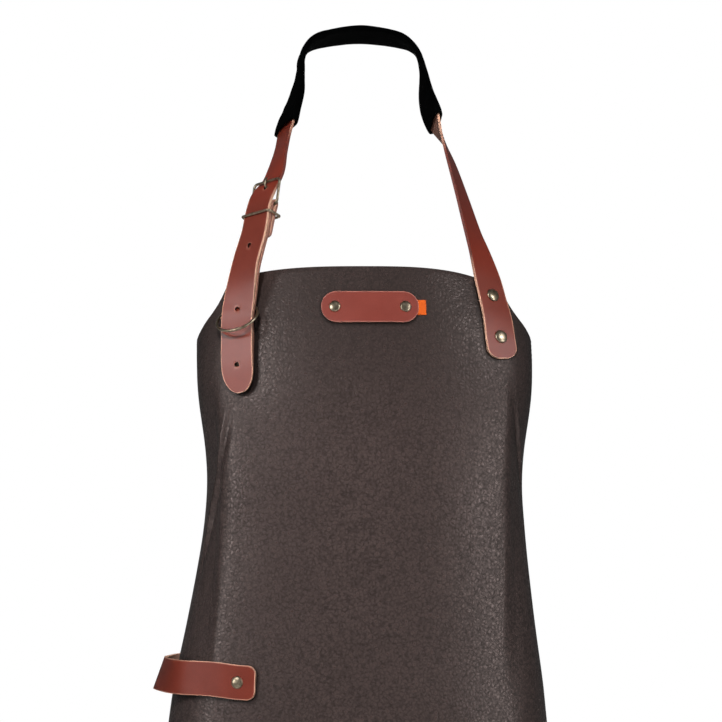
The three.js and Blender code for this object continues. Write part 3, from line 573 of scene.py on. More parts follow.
def neck_strap_rows():
    """Points and facings from the riveted end, round the nape and down to the tongue's tip."""
    laid = [
        laid_row(side * strap_spread, down * strap_end_lap,
                 strap_gap + (small_gap if down == 0 else 0))
        for down, side in reversed(strap_end_rows)
    ]
    loop = [(1, row) for row in right_loop_rows]
    loop += [(1, (0, 0, 0, nape_turn))]
    loop += [(-1, row) for row in left_loop_rows]
    places = [
        Vector((sign * row[0] * strap_spread, -row[2] * loop_reach, -row[1] * nape_above_bib))
        for sign, row in loop
    ]
    tongue = [
        laid_row(-side * strap_spread, down * tongue_past_bib_top, tongue_stand(down))
        for down, side, _ in tongue_rows
    ]
    points = [laid[-1][0], *places, tongue[0][0]]
    turned = [
        (place, facing_at((points[i + 2] - points[i]).normalized(), loop[i][1][3]))
        for i, place in enumerate(places)
    ]
    return [*laid, *turned, *tongue]


def raised_over_nape(rows):
    """Lifts the rows near the nape by half of the sleeve's bulk, so that the sleeve rests on it."""
    resting = facing_at(Vector((-1, 0, 0)), nape_turn)
    raised = []
    for point, outward in rows:
        share = smoothstep(point.z, -0.35 * nape_above_bib, 0)
        raised.append((point + resting * (share * sleeve_bulk / 2), outward))
    return raised


neck_path = strap_path(raised_over_nape(neck_strap_rows()), path_step)
neck_length = neck_path[-1][0]


def from_tip(distance):
    return section_at(neck_path, neck_length - distance)


outer_bar = holes_from_tip[-1] + prong_hole_to_bar
rear_bar = outer_bar - buckle_length
metal_half = metal_thickness / 2
bar_behind = strap_thickness + strap_gap + 3 * small_gap + metal_half
bar_ahead = strap_thickness / 2 + 3 * small_gap + metal_half

bar_point = from_tip(rear_bar)[1]
bar_up = (from_tip(outer_bar)[1] - bar_point).normalized()
bar_out = from_tip(rear_bar)[4] + from_tip(outer_bar)[4]
bar_out = (bar_out - bar_up * bar_out.dot(bar_up)).normalized()
bar_side = bar_up.cross(bar_out)
bar_centre = bar_point - bar_out * bar_behind


def buckle_strap_path():
    """Up from the bib behind the tongue, round the rear bar and down again as a short flap."""
    rows = []
    for down, side, close in buckle_strap_rows:
        behind = tongue_stand(down) - strap_thickness - small_gap
        stand = strap_gap + (behind - strap_gap) * close
        rows.append(laid_row(-side * strap_spread, down * tongue_past_bib_top, stand))
    for below, slack in backing_rows:
        _, point, _, _, outward = from_tip(rear_bar - below * flap_length)
        behind = strap_thickness + small_gap + strap_slack * slack
        rows.append((point - outward * behind, outward))
    fold_radius = metal_half + 2 * small_gap + strap_thickness / 2
    for step in range(6):
        angle = math.radians(36 * step)
        outward = bar_out * math.cos(angle) + bar_up * math.sin(angle)
        rows.append((bar_centre + outward * fold_radius, outward))
    for share, behind in flap_rows:
        _, point, _, _, outward = from_tip(rear_bar - share * flap_length)
        rows.append((point - outward * (behind * (bar_behind + fold_radius)), -outward))
    return strap_path(rows, fold_path_step)


def belt_path():
    """From the belt's left end, round the back and on to its right end."""

    def laid(arc, down):
        return laid_row(arc, down, belt_gap)

    half, front = body_half_at(belt_below_top), front_at(belt_below_top)
    level = -nape_above_bib - belt_below_top
    places = [
        Vector((half * side, front + (belt_back_reach - front) * back, level + lift * belt_width))
        for side, back, lift, _ in belt_rows
    ]
    start = [
        laid(-(belt_rivet_side - belt_end_past_rivet), belt_below_top + 0.02 * belt_width),
        laid(-belt_rivet_side, belt_below_top),
        laid(-1.2 * belt_rivet_side, belt_below_top - 0.07 * belt_width),
    ]
    end = [
        laid(flat_half_width - belt_right_end_in, belt_below_top - 2 * belt_drop_at_right),
        laid(flat_half_width - belt_right_rivet_in, belt_below_top - belt_drop_at_right),
        laid(flat_half_width - belt_right_start_in, belt_below_top - belt_drop_at_right / 2),
    ]
    points = [start[-1][0], *places, end[0][0]]
    round_back = []
    for i, place in enumerate(places):
        tangent = points[i + 2] - points[i]
        tangent.z = 0
        tangent.normalize()
        outward = Vector((-tangent.y, tangent.x, -math.tan(math.radians(belt_rows[i][3]))))
        round_back.append((place, outward.normalized()))
    return strap_path([*start, *round_back, *end], path_step)


# Meshes

def as_object(name, bm, finishes):
    """Turns a bmesh in metres into a smooth object in the scene."""
    mesh = bpy.data.meshes.new(name)
    for face in bm.faces:
        face.smooth = True
    bm.to_mesh(mesh)
    bm.free()
    for finish in finishes:
        mesh.materials.append(finish)
    made = bpy.data.objects.new(name, mesh)
    bpy.context.scene.collection.objects.link(made)
    return made


def finished(name, bm, finishes, node):
    """Turns a bmesh into a piece that rides on the frame and stands for its node."""
    piece = as_object(name, bm, finishes)
    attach(piece, "root")
    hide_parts(node)
    return piece


def grid(columns, rows):
    """A flat grid with room for its map and marks, and each of its vertices' column and row."""
    bm = bmesh.new()
    bm.loops.layers.uv.new("flat")
    bm.verts.layers.float.new("rim")
    bm.verts.layers.float.new("punched")
    bmesh.ops.create_grid(bm, x_segments=columns, y_segments=rows, size=1)
    index = {
        vert: (round((vert.co.x + 1) / 2 * columns), round((vert.co.y + 1) / 2 * rows))
        for vert in bm.verts
    }
    return bm, index


def map_flat(bm, flat):
    """Writes the map: where each vertex lies on the flat material, in metres."""
    layer = bm.loops.layers.uv["flat"]
    for face in bm.faces:
        for loop in face.loops:
            along, across = flat[loop.vert]
            loop[layer].uv = (along * MM, across * MM)


def wall(piece, thickness, edge_round, offset=0.0):
    """Gives a surface its thickness, its other finishes if it has them, and rounded edges."""
    several = len(piece.data.materials) > 1
    solid = piece.modifiers.new("thickness", "SOLIDIFY")
    solid.thickness = thickness * MM
    solid.offset = offset
    solid.material_offset = 1 if several else 0
    solid.material_offset_rim = 2 if several else 0
    bevel = piece.modifiers.new("edge", "BEVEL")
    bevel.width = edge_round * MM
    bevel.segments = 2
    bevel.limit_method = "ANGLE"
    bevel.angle_limit = math.radians(50)


def join_up(bm):
    """Joins the sides that meet, and turns the faces to one side."""
    bmesh.ops.remove_doubles(bm, verts=bm.verts, dist=1e-6)
    bmesh.ops.recalc_face_normals(bm, faces=bm.faces)


def closed_surface(columns, rows, place):
    """A smooth surface with its sides joined up. place(s, t) gives its points in millimetres."""
    bm, index = grid(columns, rows)
    for vert, (i, j) in index.items():
        vert.co = place(i / columns, j / rows) * MM
    join_up(bm)
    return bm


def face_away_from(bm, inside):
    """Turns an open surface's faces so that they look away from inside(point)."""
    bm.normal_update()
    score = 0.0
    for face in bm.faces:
        middle = face.calc_center_median()
        score += face.normal.dot(middle - inside(middle))
    if score < 0:
        bmesh.ops.reverse_faces(bm, faces=bm.faces)


def wearer(point):
    """A point inside the wearer, at the height of another one, in metres."""
    return Vector((0, 0.15, point.z))


def punch(bm, index, flat, stations, ribs, hole_at, radius):
    """Opens a round hole in a strip's grid, in the middle of its width."""
    spot = min(range(len(stations)), key=lambda i: abs(stations[i] - hole_at))
    inner = []
    for vert, (i, j) in index.items():
        reach = max(abs(i - spot), abs(j - ribs // 2))
        if reach <= 1:
            inner.append(vert)
        elif reach == 2:
            away, side = flat[vert][0] - hole_at, flat[vert][1]
            size = math.hypot(away, side)
            flat[vert] = [hole_at + away * radius / size, side * radius / size]
    for vert in inner:
        del index[vert], flat[vert]
    bmesh.ops.delete(bm, geom=inner, context="VERTS")


def leather_strip(name, stations, ribs, half_width, place, holes, finishes, thickness, node):
    """A flat strip of leather bent to where place(along, across) puts it, with punched holes.

    Its map holds the flat leather's own distances in metres. Its rim attribute is 1 at a cut edge
    and falls to 0 a little way in, and its punched attribute does the same at a hole.
    """
    bm, index = grid(len(stations) - 1, ribs)
    rim, punched = (bm.verts.layers.float[mark] for mark in ("rim", "punched"))
    flat = {}
    for vert, (i, j) in index.items():
        along = stations[i]
        flat[vert] = [along, half_width(along) * (2 * j / ribs - 1)]
    for hole in holes:
        punch(bm, index, flat, stations, ribs, *hole)
    for vert, (along, across) in flat.items():
        inset = half_width(along) - abs(across)
        inset = min(inset, along - stations[0], stations[-1] - along)
        vert[rim] = 1 - smoothstep(inset, 0, rim_reach)
        for hole_at, radius in holes:
            from_hole = math.hypot(along - hole_at, across) - radius
            vert[punched] = max(vert[punched], 1 - smoothstep(from_hole, 0, punched_reach))
        vert.co = place(along, across)[0] * MM
    map_flat(bm, flat)
    bm.normal_update()
    middle = bm.faces[:][len(bm.faces) // 2]
    if middle.normal.dot(place(*flat[middle.verts[0]])[1]) < 0:
        bmesh.ops.reverse_faces(bm, faces=bm.faces)
    piece = finished(name, bm, finishes, node)
    wall(piece, thickness, cut_edge_round)


def along_stations(start, end, holes, pace, cell, rounds):
    """Distances along a strip: even ones, close ones at its rounded ends and round each hole."""
    count = math.ceil((end - start) / pace)
    stations = [start + (end - start) * i / count for i in range(count + 1)]
    special = []
    for at, length in rounds:
        inward = 1 if at == start else -1
        shares = (0.0, 0.008, 0.03, 0.07, 0.13, 0.2, 0.3, 0.42, 0.56, 0.72, 0.88, 1.0)
        near = [at + inward * share * length for share in shares]
        special += near
        low, high = min(near), max(near)
        stations = [s for s in stations if s < low - 0.3 * pace or s > high + 0.3 * pace]
    for hole_at, _ in holes:
        stations = [s for s in stations if abs(s - hole_at) > 3.4 * cell]
        special = [s for s in special if abs(s - hole_at) > 2.6 * cell]
        special += [hole_at + k * cell for k in (-2, -1, 0, 1, 2)]
    return sorted({round(s, 4) for s in stations + special})


def round_share(distance, length, blunt):
    t = min(max(distance / length, 0), 1)
    return blunt + (1 - blunt) * math.sqrt(1 - (1 - t) * (1 - t))


def strap_on_path(name, node, path, start, end, width, thickness, finishes, rounds, holes):
    """A strap along part of a path. rounds are (end, length, blunt) for its rounded ends."""
    cell = width / strap_ribs
    ends = [(at, long) for at, long, _ in rounds]
    stations = along_stations(start, end, holes, strap_pace, cell, ends)

    def half_width(along):
        shares = (round_share(abs(along - at), long, blunt) for at, long, blunt in rounds)
        return width / 2 * min(1.0, *shares)

    def place(along, across):
        _, point, _, sideways, outward = section_at(path, along)
        return point + sideways * across, outward

    leather_strip(name, stations, strap_ribs, half_width, place, holes, finishes, thickness, node)


def wire(name, node, count, around, line, radius):
    """A round brass wire along a flat line: line(t) gives a point and the two ways across it."""

    def place(s, t):
        point, normal, other = line(s)
        angle = 2 * math.pi * t
        return point + (normal * math.cos(angle) + other * math.sin(angle)) * radius(s)

    finished(name, closed_surface(count, around, place), [brass_finish], node)


def direction(angle):
    return Vector((math.cos(angle), math.sin(angle)))


def rounded_rectangle(width, height, corner, share):
    """A point and outward direction on a rounded rectangle, by the share of its outline."""
    flat_x, flat_y = width - 2 * corner, height - 2 * corner
    quarter = math.pi / 2 * corner
    whole = 2 * (flat_x + flat_y) + 4 * quarter
    at = (share % 1.0) * whole
    runs = [
        (flat_x, Vector((-flat_x / 2, -height / 2)), Vector((1, 0)), -90),
        (flat_y, Vector((width / 2, -flat_y / 2)), Vector((0, 1)), 0),
        (flat_x, Vector((flat_x / 2, height / 2)), Vector((-1, 0)), 90),
        (flat_y, Vector((-width / 2, flat_y / 2)), Vector((0, -1)), 180),
    ]
    for length, start, step, facing in runs:
        angle = math.radians(facing)
        if at <= length:
            return start + step * at, direction(angle)
        at -= length
        if at <= quarter:
            centre = start + step * length - direction(angle) * corner
            out = direction(angle + at / corner)
            return centre + out * corner, out
        at -= quarter
    return runs[0][1], Vector((0, -1))


# Shader nodes

class Nodes:
    """The shader nodes of one finish or group, joined up as they are made."""

    def __init__(self, tree):
        self.tree = tree

    def put(self, node, values):
        """Sets a node's inputs. A value that is another node's socket is linked."""
        for name, value in values.items():
            socket = node.inputs[name]
            if isinstance(value, bpy.types.NodeSocket):
                self.tree.links.new(value, socket)
            else:
                socket.default_value = value
        return node

    def add(self, kind, values, **settings):
        node = self.tree.nodes.new("ShaderNode" + kind)
        for name, value in settings.items():
            setattr(node, name, value)
        return self.put(node, values).outputs

    def use(self, group, values):
        node = self.tree.nodes.new("ShaderNodeGroup")
        node.node_tree = group
        return self.put(node, values).outputs

    def maths(self, operation, *values, kind="Math", **settings):
        return self.add(kind, dict(enumerate(values)), operation=operation, **settings)[0]

    def vectors(self, operation, *values):
        return self.maths(operation, *values, kind="VectorMath")

    def scaled(self, value, scale, shift=0.0):
        """A value times scale, plus shift, kept from 0 to 1."""
        return self.maths("MULTIPLY_ADD", value, scale, shift, use_clamp=True)

    def ramp(self, value, low, high, first=0.0, last=1.0, kind="LINEAR"):
        """Goes from first to last as a value goes from low to high."""
        values = {"Value": value, "From Min": low, "From Max": high}
        values.update({"To Min": first, "To Max": last})
        return self.add("MapRange", values, interpolation_type=kind)[0]

    def blend(self, factor, first, second):
        """Mixes two colours."""
        first, second = ((*c, 1) if isinstance(c, tuple) else c for c in (first, second))
        return self.add("Mix", {0: factor, 6: first, 7: second}, data_type="RGBA")[2]

    def noise(self, where, scale, detail, roughness=0.5, output="Fac"):
        values = {"Vector": where, "Scale": scale, "Detail": detail, "Roughness": roughness}
        return self.add("TexNoise", values)[output]

    def clouds(self, where, size):
        return self.use(mottle, {"Vector": where, "Size": size})["Tone"]

    def mark(self, name):
        return self.add("Attribute", {}, attribute_name=name)["Fac"]

    def flat_map(self):
        return self.add("UVMap", {}, uv_map="flat")["UV"]

    def own_place(self):
        return self.add("TexCoord", {})["Object"]

    def part(self, where, axis):
        return self.add("SeparateXYZ", {"Vector": where})[axis]

    def relief(self, height, distance, strength):
        values = {"Height": height, "Distance": distance * MM, "Strength": strength}
        return self.add("Bump", values)["Normal"]


def new_group(name, inputs, outputs):
    """A group that reads a vector and its other inputs: vectors, which have None, or numbers."""
    tree = bpy.data.node_groups.new(name, "ShaderNodeTree")
    for label, value in {"Vector": None, **inputs}.items():
        kind = "NodeSocketVector" if value is None else "NodeSocketFloat"
        socket = tree.interface.new_socket(label, in_out="INPUT", socket_type=kind)
        if value is not None:
            socket.default_value = value
    for label in outputs:
        tree.interface.new_socket(label, in_out="OUTPUT", socket_type="NodeSocketFloat")
    given = tree.nodes.new("NodeGroupInput").outputs
    return Nodes(tree), given, tree.nodes.new("NodeGroupOutput")


def pebble_group():
    """Pebbled leather grain: soft cells with creases between them, on slow swells, with pores.

    Tone follows the cells, with blotches of about a cell's size, so that the grain looks uneven.
    """
    nodes, given, result = new_group(
        "pebbled_grain", {"Cell": 1.8, "Crease": 0.5, "Swell": 0.5}, ["Height", "Tone"]
    )
    where = given["Vector"]
    scale = nodes.maths("DIVIDE", 1000.0, given["Cell"])
    warp = nodes.noise(where, 300.0, 2.0, output="Color")
    place = nodes.vectors("ADD", where, nodes.vectors("MULTIPLY", warp, (0.0022, 0.0022, 0.0022)))
    cells = nodes.add("TexVoronoi", {"Vector": place, "Scale": scale}, feature="DISTANCE_TO_EDGE")
    dome = nodes.ramp(cells["Distance"], 0.0, given["Crease"], kind="SMOOTHSTEP")
    pores = nodes.noise(where, 1500.0, 2.0)
    blotch = nodes.noise(place, nodes.maths("MULTIPLY", scale, 1.35), 1.0)
    fine = nodes.maths("MULTIPLY_ADD", pores, 0.12, dome)
    height = nodes.maths("MULTIPLY_ADD", nodes.noise(where, 105.0, 2.0), given["Swell"], fine)
    tone = nodes.maths("MULTIPLY_ADD", blotch, 1.45, nodes.maths("MULTIPLY_ADD", dome, 0.55, pores))
    nodes.put(result, {"Height": height, "Tone": nodes.scaled(tone, 1.0, -0.93)})
    return nodes.tree


def mottle_group():
    """Slow changes of tone over a surface, with finer ones on them."""
    nodes, given, result = new_group("mottle", {"Size": 40.0}, ["Tone"])
    scale = nodes.maths("DIVIDE", 1000.0, given["Size"])
    clouds = nodes.noise(given["Vector"], scale, 4.0, 0.6)
    nodes.put(result, {"Tone": nodes.ramp(clouds, 0.3, 0.7)})
    return nodes.tree


def painted_shadow_group():
    """Painted shadow: the dark contact-shadow line painted round a piece on the sheet: 1 at its
    outline, 0 away from it.

    The outline is a rounded box: its middle, half its size without the corner, the corner, its turn.
    """
    nodes, given, result = new_group(
        "painted_shadow_outline", {"Middle": None, "Half": None, "Corner": 0.0, "Turn": 0.0}, ["Mask"]
    )
    middle, corner = given["Middle"], given["Corner"]
    around = {"Vector": given["Vector"], "Center": middle, "Angle": given["Turn"]}
    turned = nodes.add("VectorRotate", around, rotation_type="Z_AXIS")[0]
    size = nodes.vectors("ABSOLUTE", nodes.vectors("SUBTRACT", turned, middle))
    past = nodes.vectors("SUBTRACT", size, given["Half"])
    outside = nodes.vectors("MAXIMUM", past, (0, 0, 0))
    reach = nodes.add("VectorMath", {0: outside}, operation="LENGTH")["Value"]
    end = nodes.maths("ADD", corner, painted_shadow_spread * MM)
    nodes.put(result, {"Mask": nodes.ramp(reach, corner, end, 1.0, 0.0)})
    return nodes.tree


def weave_group():
    """A plain weave: threads that cross, by two wave patterns on the piece's map."""
    nodes, given, result = new_group("plain_weave", {"Thread": 1.0}, ["Height"])
    scale = nodes.maths("DIVIDE", 314.2, given["Thread"])
    warps, wefts = (
        nodes.add("TexWave", {"Vector": given["Vector"], "Scale": scale}, bands_direction=way)["Fac"]
        for way in ("X", "Y")
    )
    nodes.put(result, {"Height": nodes.maths("MULTIPLY", warps, wefts)})
    return nodes.tree


pebbled_grain = pebble_group()
mottle = mottle_group()
plain_weave = weave_group()
painted_shadow_outline = painted_shadow_group()


# Finishes

def new_finish(name, values):
    """A material, its nodes and its shader, with the values that are the same all over."""
    material = bpy.data.materials.new(name)
    material.use_nodes = True
    nodes = Nodes(material.node_tree)
    shader = nodes.put(material.node_tree.nodes["Principled BSDF"], values)
    return material, nodes, shader


def apron_face():
    """Dark pebbled leather, with painted shade darkening the top of the bib and painted shadow lines
    round the pieces on it.
    """
    values = {"Specular IOR Level": 0.34, "Specular Tint": (1, 0.87, 0.83, 1)}
    material, nodes, shader = new_finish("apron_face", values)
    where = nodes.flat_map()
    grain = nodes.use(pebbled_grain, {"Vector": where, "Cell": 3.9, "Crease": 0.40, "Swell": 2.6})
    clouds = nodes.clouds(where, 70.0)
    ground = nodes.blend(clouds, (0.0510, 0.0356, 0.0327), (0.0596, 0.0417, 0.0385))
    # Painted shade: the top of the bib is painted darker to stand in for the dimmer light there.
    bib_shade_ramp = nodes.ramp(nodes.part(where, "Y"), bib_painted_shade[0] * MM, bib_painted_shade[1] * MM)
    ground = nodes.blend(bib_shade_ramp, (0.0335, 0.0232, 0.0213), ground)
    colour = nodes.blend(grain["Tone"], (0.0156, 0.0113, 0.0103), ground)
    # Painted shadow: dark contact-shadow lines on the sheet round the label, the strap end, the
    # tongue and the belt.
    painted_shadow_mask = 0.0
    for arc, down, half_across, half_down, corner, turn in painted_shadow_rows:
        outline = nodes.use(painted_shadow_outline, {
            "Vector": where, "Middle": (arc * MM, down * MM, 0),
            "Half": ((half_across - corner) * MM, (half_down - corner) * MM, 0),
            "Corner": corner * MM, "Turn": math.radians(turn),
        })
        painted_shadow_mask = nodes.maths("MAXIMUM", outline["Mask"], painted_shadow_mask)
    colour = nodes.blend(nodes.scaled(painted_shadow_mask, painted_shadow_depth), colour, (0.0035, 0.0024, 0.0022))
    nodes.put(shader, {
        "Base Color": colour, "Roughness": nodes.scaled(grain["Tone"], -0.24, 0.50),
        "Normal": nodes.relief(grain["Height"], 0.096, 1.0),
    })
    return material


def within_painted_stretch(nodes, where):
    """1 along the neck strap's stretches of painted light and shade, else 0."""
    along = nodes.part(where, "X")
    total = 0.0
    for start, end in painted_light_shade_stretches:
        for place, sign in ((start, 1.0), (end, -1.0)):
            step = nodes.ramp(along, (place - edge_fade) * MM, (place + edge_fade) * MM)
            total = nodes.maths("MULTIPLY_ADD", step, sign, total)
    return total


def strap_face(name, gloss, dark, pale, edge, stretch_paint=None):
    """Smooth red-brown leather with pale rims, part cut edge and part painted highlight, and painted
    light and shade along the neck strap's stretches.
    """
    material, nodes, shader = new_finish(name, {"Roughness": 0.38, "Specular IOR Level": gloss})
    where = nodes.flat_map()
    grain = nodes.use(pebbled_grain, {"Vector": where, "Cell": 0.8, "Crease": 0.5, "Swell": 0.6})
    ground = nodes.blend(nodes.clouds(where, 22.0), dark, pale)
    # Along those stretches: painted light as a brighter red face, painted shade as dark rims.
    if stretch_paint:
        kept = within_painted_stretch(nodes, where)
        ground = nodes.blend(kept, ground, stretch_paint)
        edge = nodes.blend(kept, edge, (0.11, 0.020, 0.012))
    fine = nodes.blend(nodes.scaled(grain["Tone"], 0.5, 0.5), (0.078, 0.0145, 0.0092), ground)
    # The pale rims: partly the pale cut edge drawn onto the face, partly a painted highlight where
    # the edge catches light. The same holds for the pale ring round each hole.
    worn = nodes.blend(nodes.scaled(nodes.mark("rim"), 1.8, -0.75), fine, edge)
    punched = nodes.scaled(nodes.mark("punched"), 0.6, -0.2)
    nodes.put(shader, {
        "Base Color": nodes.blend(punched, worn, (0.30, 0.13, 0.09)),
        "Normal": nodes.relief(grain["Height"], 0.07, 0.5),
    })
    return material


def flesh_side(name, roughness, fibres, distance, strength, dark, pale, cloud_size=None):
    """The back of the leather: loose fibres, with clouds of tone where a size is given."""
    material, nodes, shader = new_finish(name, {"Roughness": roughness})
    where = nodes.flat_map()
    fuzz = nodes.noise(where, fibres, 6.0, 0.7)
    tone = nodes.clouds(where, cloud_size) if cloud_size else fuzz
    nodes.put(shader, {
        "Base Color": nodes.blend(tone, dark, pale),
        "Normal": nodes.relief(fuzz, distance, strength),
    })
    return material


def cut_edge(name, roughness, cloud_size, dark, pale, stretch_paint=None):
    """The cut through the leather, with painted shade darkening it in the holes and, where a colour
    is given, along the neck strap's stretches.
    """
    material, nodes, shader = new_finish(name, {"Roughness": roughness})
    colour = nodes.blend(nodes.clouds(nodes.own_place(), cloud_size), dark, pale)
    # Painted shade: a dark cut edge along the neck strap's stretches.
    if stretch_paint:
        colour = nodes.blend(within_painted_stretch(nodes, nodes.flat_map()), colour, stretch_paint)
    # Painted shade: the cut edge is painted near black inside the holes.
    colour = nodes.blend(nodes.mark("punched"), colour, (0.012, 0.005, 0.004))
    nodes.put(shader, {"Base Color": colour})
    return material


def sleeve_cloth():
    values = {"Roughness": 0.9, "Specular IOR Level": 0.02}
    material, nodes, shader = new_finish("sleeve_cloth", values)
    where = nodes.flat_map()
    weave = nodes.use(plain_weave, {"Vector": where, "Thread": 0.9})
    tone = nodes.clouds(where, 18.0)
    nodes.put(shader, {
        "Base Color": nodes.blend(tone, (0.0002, 0.0002, 0.0002), (0.0010, 0.0012, 0.0013)),
        "Normal": nodes.relief(weave["Height"], 0.25, 0.7),
    })
    return material


def aged_brass():
    material, nodes, shader = new_finish("aged_brass", {"Metallic": 1.0})
    where = nodes.own_place()
    tone = nodes.clouds(where, 5.0)
    nodes.put(shader, {
        "Base Color": nodes.blend(tone, (0.135, 0.105, 0.068), (0.62, 0.52, 0.38)),
        "Roughness": nodes.scaled(tone, -0.14, 0.42),
        "Normal": nodes.relief(nodes.noise(where, 900.0, 3.0), 0.03, 0.4),
    })
    return material


def tag_ribbon():
    values = {"Roughness": 0.8, "Specular IOR Level": 0.3}
    material, nodes, shader = new_finish("tag_ribbon", values)
    ribs = {"Vector": nodes.flat_map(), "Scale": 290.0}
    ribs = nodes.add("TexWave", ribs, bands_direction="Y")["Fac"]
    nodes.put(shader, {
        "Base Color": nodes.blend(ribs, (0.40, 0.060, 0.006), (0.53, 0.090, 0.010)),
        "Normal": nodes.relief(ribs, 0.12, 0.8),
    })
    return material


red_brown = (0.128, 0.0195, 0.0100), (0.158, 0.0265, 0.0148)
label_brown = (0.146, 0.0245, 0.0165), (0.180, 0.0345, 0.0240)
pale_rim, dull_rim = (0.46, 0.23, 0.155), (0.27, 0.105, 0.080)
pale_cut = (0.40, 0.20, 0.13), (0.62, 0.38, 0.27)
# Painted light: the brighter red of the neck strap's face where little light reaches it. Painted
# shade: its dark cut edge there.
painted_light_red, painted_shade_cut = (0.215, 0.024, 0.0095), (0.10, 0.019, 0.012)

apron_finishes = [
    apron_face(),
    flesh_side("apron_flesh_side", 0.9, 900.0, 0.25, 0.7, (0.085, 0.062, 0.050),
               (0.130, 0.098, 0.080), 35.0),
    cut_edge("apron_cut_edge", 0.75, 6.0, (0.060, 0.045, 0.038), (0.110, 0.085, 0.070)),
]
pale_edge = cut_edge("strap_cut_edge", 0.6, 4.0, *pale_cut)
# Painted shade on the buckle strap's cut edge, for the shadow between the strap layers; on the label
# the same darker colour is its burnished edge.
burnished_and_shaded_edge = cut_edge("burnished_and_shaded_cut_edge", 0.6, 4.0, (0.15, 0.060, 0.042), (0.27, 0.125, 0.088))
strap_flesh_side = flesh_side(
    "strap_flesh_side", 0.8, 1100.0, 0.2, 0.6, (0.30, 0.14, 0.095), (0.52, 0.30, 0.22)
)
neck_finishes = [
    strap_face("neck_strap_face", 0.50, *red_brown, pale_rim, painted_light_red),
    # Painted shade: a darker copy of the straps' flesh side, for the shade it lies in by the sleeve's
    # mouths.
    flesh_side("neck_flesh_side_painted_shade", 0.8, 1100.0, 0.2, 0.6, (0.13, 0.048, 0.032), (0.24, 0.115, 0.080)),
    cut_edge("neck_cut_edge", 0.6, 4.0, *pale_cut, painted_shade_cut),
]
buckle_strap_face = strap_face("strap_face", 0.50, *red_brown, pale_rim)
buckle_strap_finishes = [buckle_strap_face, strap_flesh_side, burnished_and_shaded_edge]
belt_finishes = [strap_face("belt_face", 0.2, *red_brown, pale_rim), strap_flesh_side, pale_edge]
label_finishes = [strap_face("label_face", 0.6, *label_brown, dull_rim), strap_flesh_side, burnished_and_shaded_edge]
sleeve_finish = sleeve_cloth()
brass_finish = aged_brass()
tag_finish = tag_ribbon()


# Rivets by name: place on the sheet, cap diameter and how far their domes stand off the sheet

strap_end_side = column(strap_end_rows, 1)
buckle_strap_side = column(sorted(buckle_strap_rows), 1)
strap_stand = strap_thickness + small_gap
label_stand = label_thickness + small_gap
belt_stand = belt_thickness + 2 * small_gap
rivets = {}
for spot, share in strap_rivets_at.items():
    arc = strap_end_side(share) * strap_spread
    rivets["strap_rivet_" + spot] = (arc, share * strap_end_lap, strap_cap_diameter, strap_stand)
for spot, share in buckle_rivets_at.items():
    arc, down = -buckle_strap_side(share) * strap_spread, share * tongue_past_bib_top
    rivets["buckle_strap_rivet_" + spot] = (arc, down, strap_cap_diameter, strap_stand)
for spot, side in (("left", -1), ("right", 1)):
    arc = label_aside + side * label_rivet_span / 2
    rivets["label_rivet_" + spot] = (arc, label_below_top, label_cap_diameter, label_stand)
rivets["waist_rivet_left"] = (-belt_rivet_side, belt_below_top, waist_cap_diameter, belt_stand)
rivets["waist_rivet_right"] = (
    flat_half_width - belt_right_rivet_in, belt_below_top - belt_drop_at_right,
    waist_cap_diameter, belt_stand,
)


def rivet(name, arc, down, cap_diameter, stand):
    """A domed cap on a post, with a flat cap behind, spun round its axis."""
    cap, post = cap_diameter / 2, post_diameter / 2
    back = -(stand + sheet_thickness) - back_cap_gap
    profile = [(0, back - back_cap_height), (0.7 * cap, back - back_cap_height)]
    profile += [(0.83 * cap, back - 0.8 * back_cap_height), (0.86 * cap, back)]
    profile += [(post, back), (post, small_gap)]
    profile += [(0.97 * cap, small_gap), (cap, small_gap + 0.5 * dome_brim)]
    for step in range(dome_steps + 1):
        angle = math.pi / 2 * step / dome_steps
        rise = dome_brim + (dome_height - dome_brim) * math.sin(angle)
        profile.append((0.97 * cap * math.cos(angle) ** 0.9, small_gap + rise))
    profile[-1] = (0, profile[-1][1])
    bm = bmesh.new()
    verts = [bm.verts.new((r * MM, 0, h * MM)) for r, h in profile]
    edges = [bm.edges.new(pair) for pair in zip(verts, verts[1:])]
    bmesh.ops.spin(
        bm, geom=verts + edges, cent=(0, 0, 0), axis=(0, 0, 1), angle=2 * math.pi,
        steps=rivet_sides, use_merge=True,
    )
    join_up(bm)
    turn = Vector((0, 0, 1)).rotation_difference(sheet_normal(arc, down)).to_matrix().to_4x4()
    place = Matrix.Translation(on_sheet(arc, down, stand) * MM) @ turn
    bmesh.ops.transform(bm, matrix=place, verts=bm.verts)
    finished(name + "_cap", bm, [brass_finish], name)


for name, sizes in rivets.items():
    rivet(name, *sizes)


# The sheet

def crease_at(arc, down):
    """How high the sharp crease beside a fold stands, with the dip on its inner side."""
    share, side = down / apron_length, 1 if arc > 0 else -1
    if share <= crease_rows[side][0][0] or share >= crease_rows[side][-1][0]:
        return 0.0
    across = abs(arc) - crease_out[side](share) * flat_half_width
    ridge = math.exp(-(across / crease_half_width) ** 2)
    dip = math.exp(-((across + crease_dip_in) / crease_dip_half_width) ** 2)
    return crease_high[side](share) * (crease_height * ridge - crease_dip * dip)


def shoulder_at(arc, down):
    """How far the sheet drops where its front bends over to a side, before it rises again."""
    fade = smoothstep(down, *shoulder_begins) * (1 - smoothstep(down, *shoulder_ends))
    side = 1 if arc > 0 else -1
    start = shoulder_out[side]
    low = start + shoulder_width[side]
    drop = smoothstep(abs(arc), start, low) * (1 - smoothstep(abs(arc), low, low + shoulder_rise))
    return -shoulder_drop * fade * drop


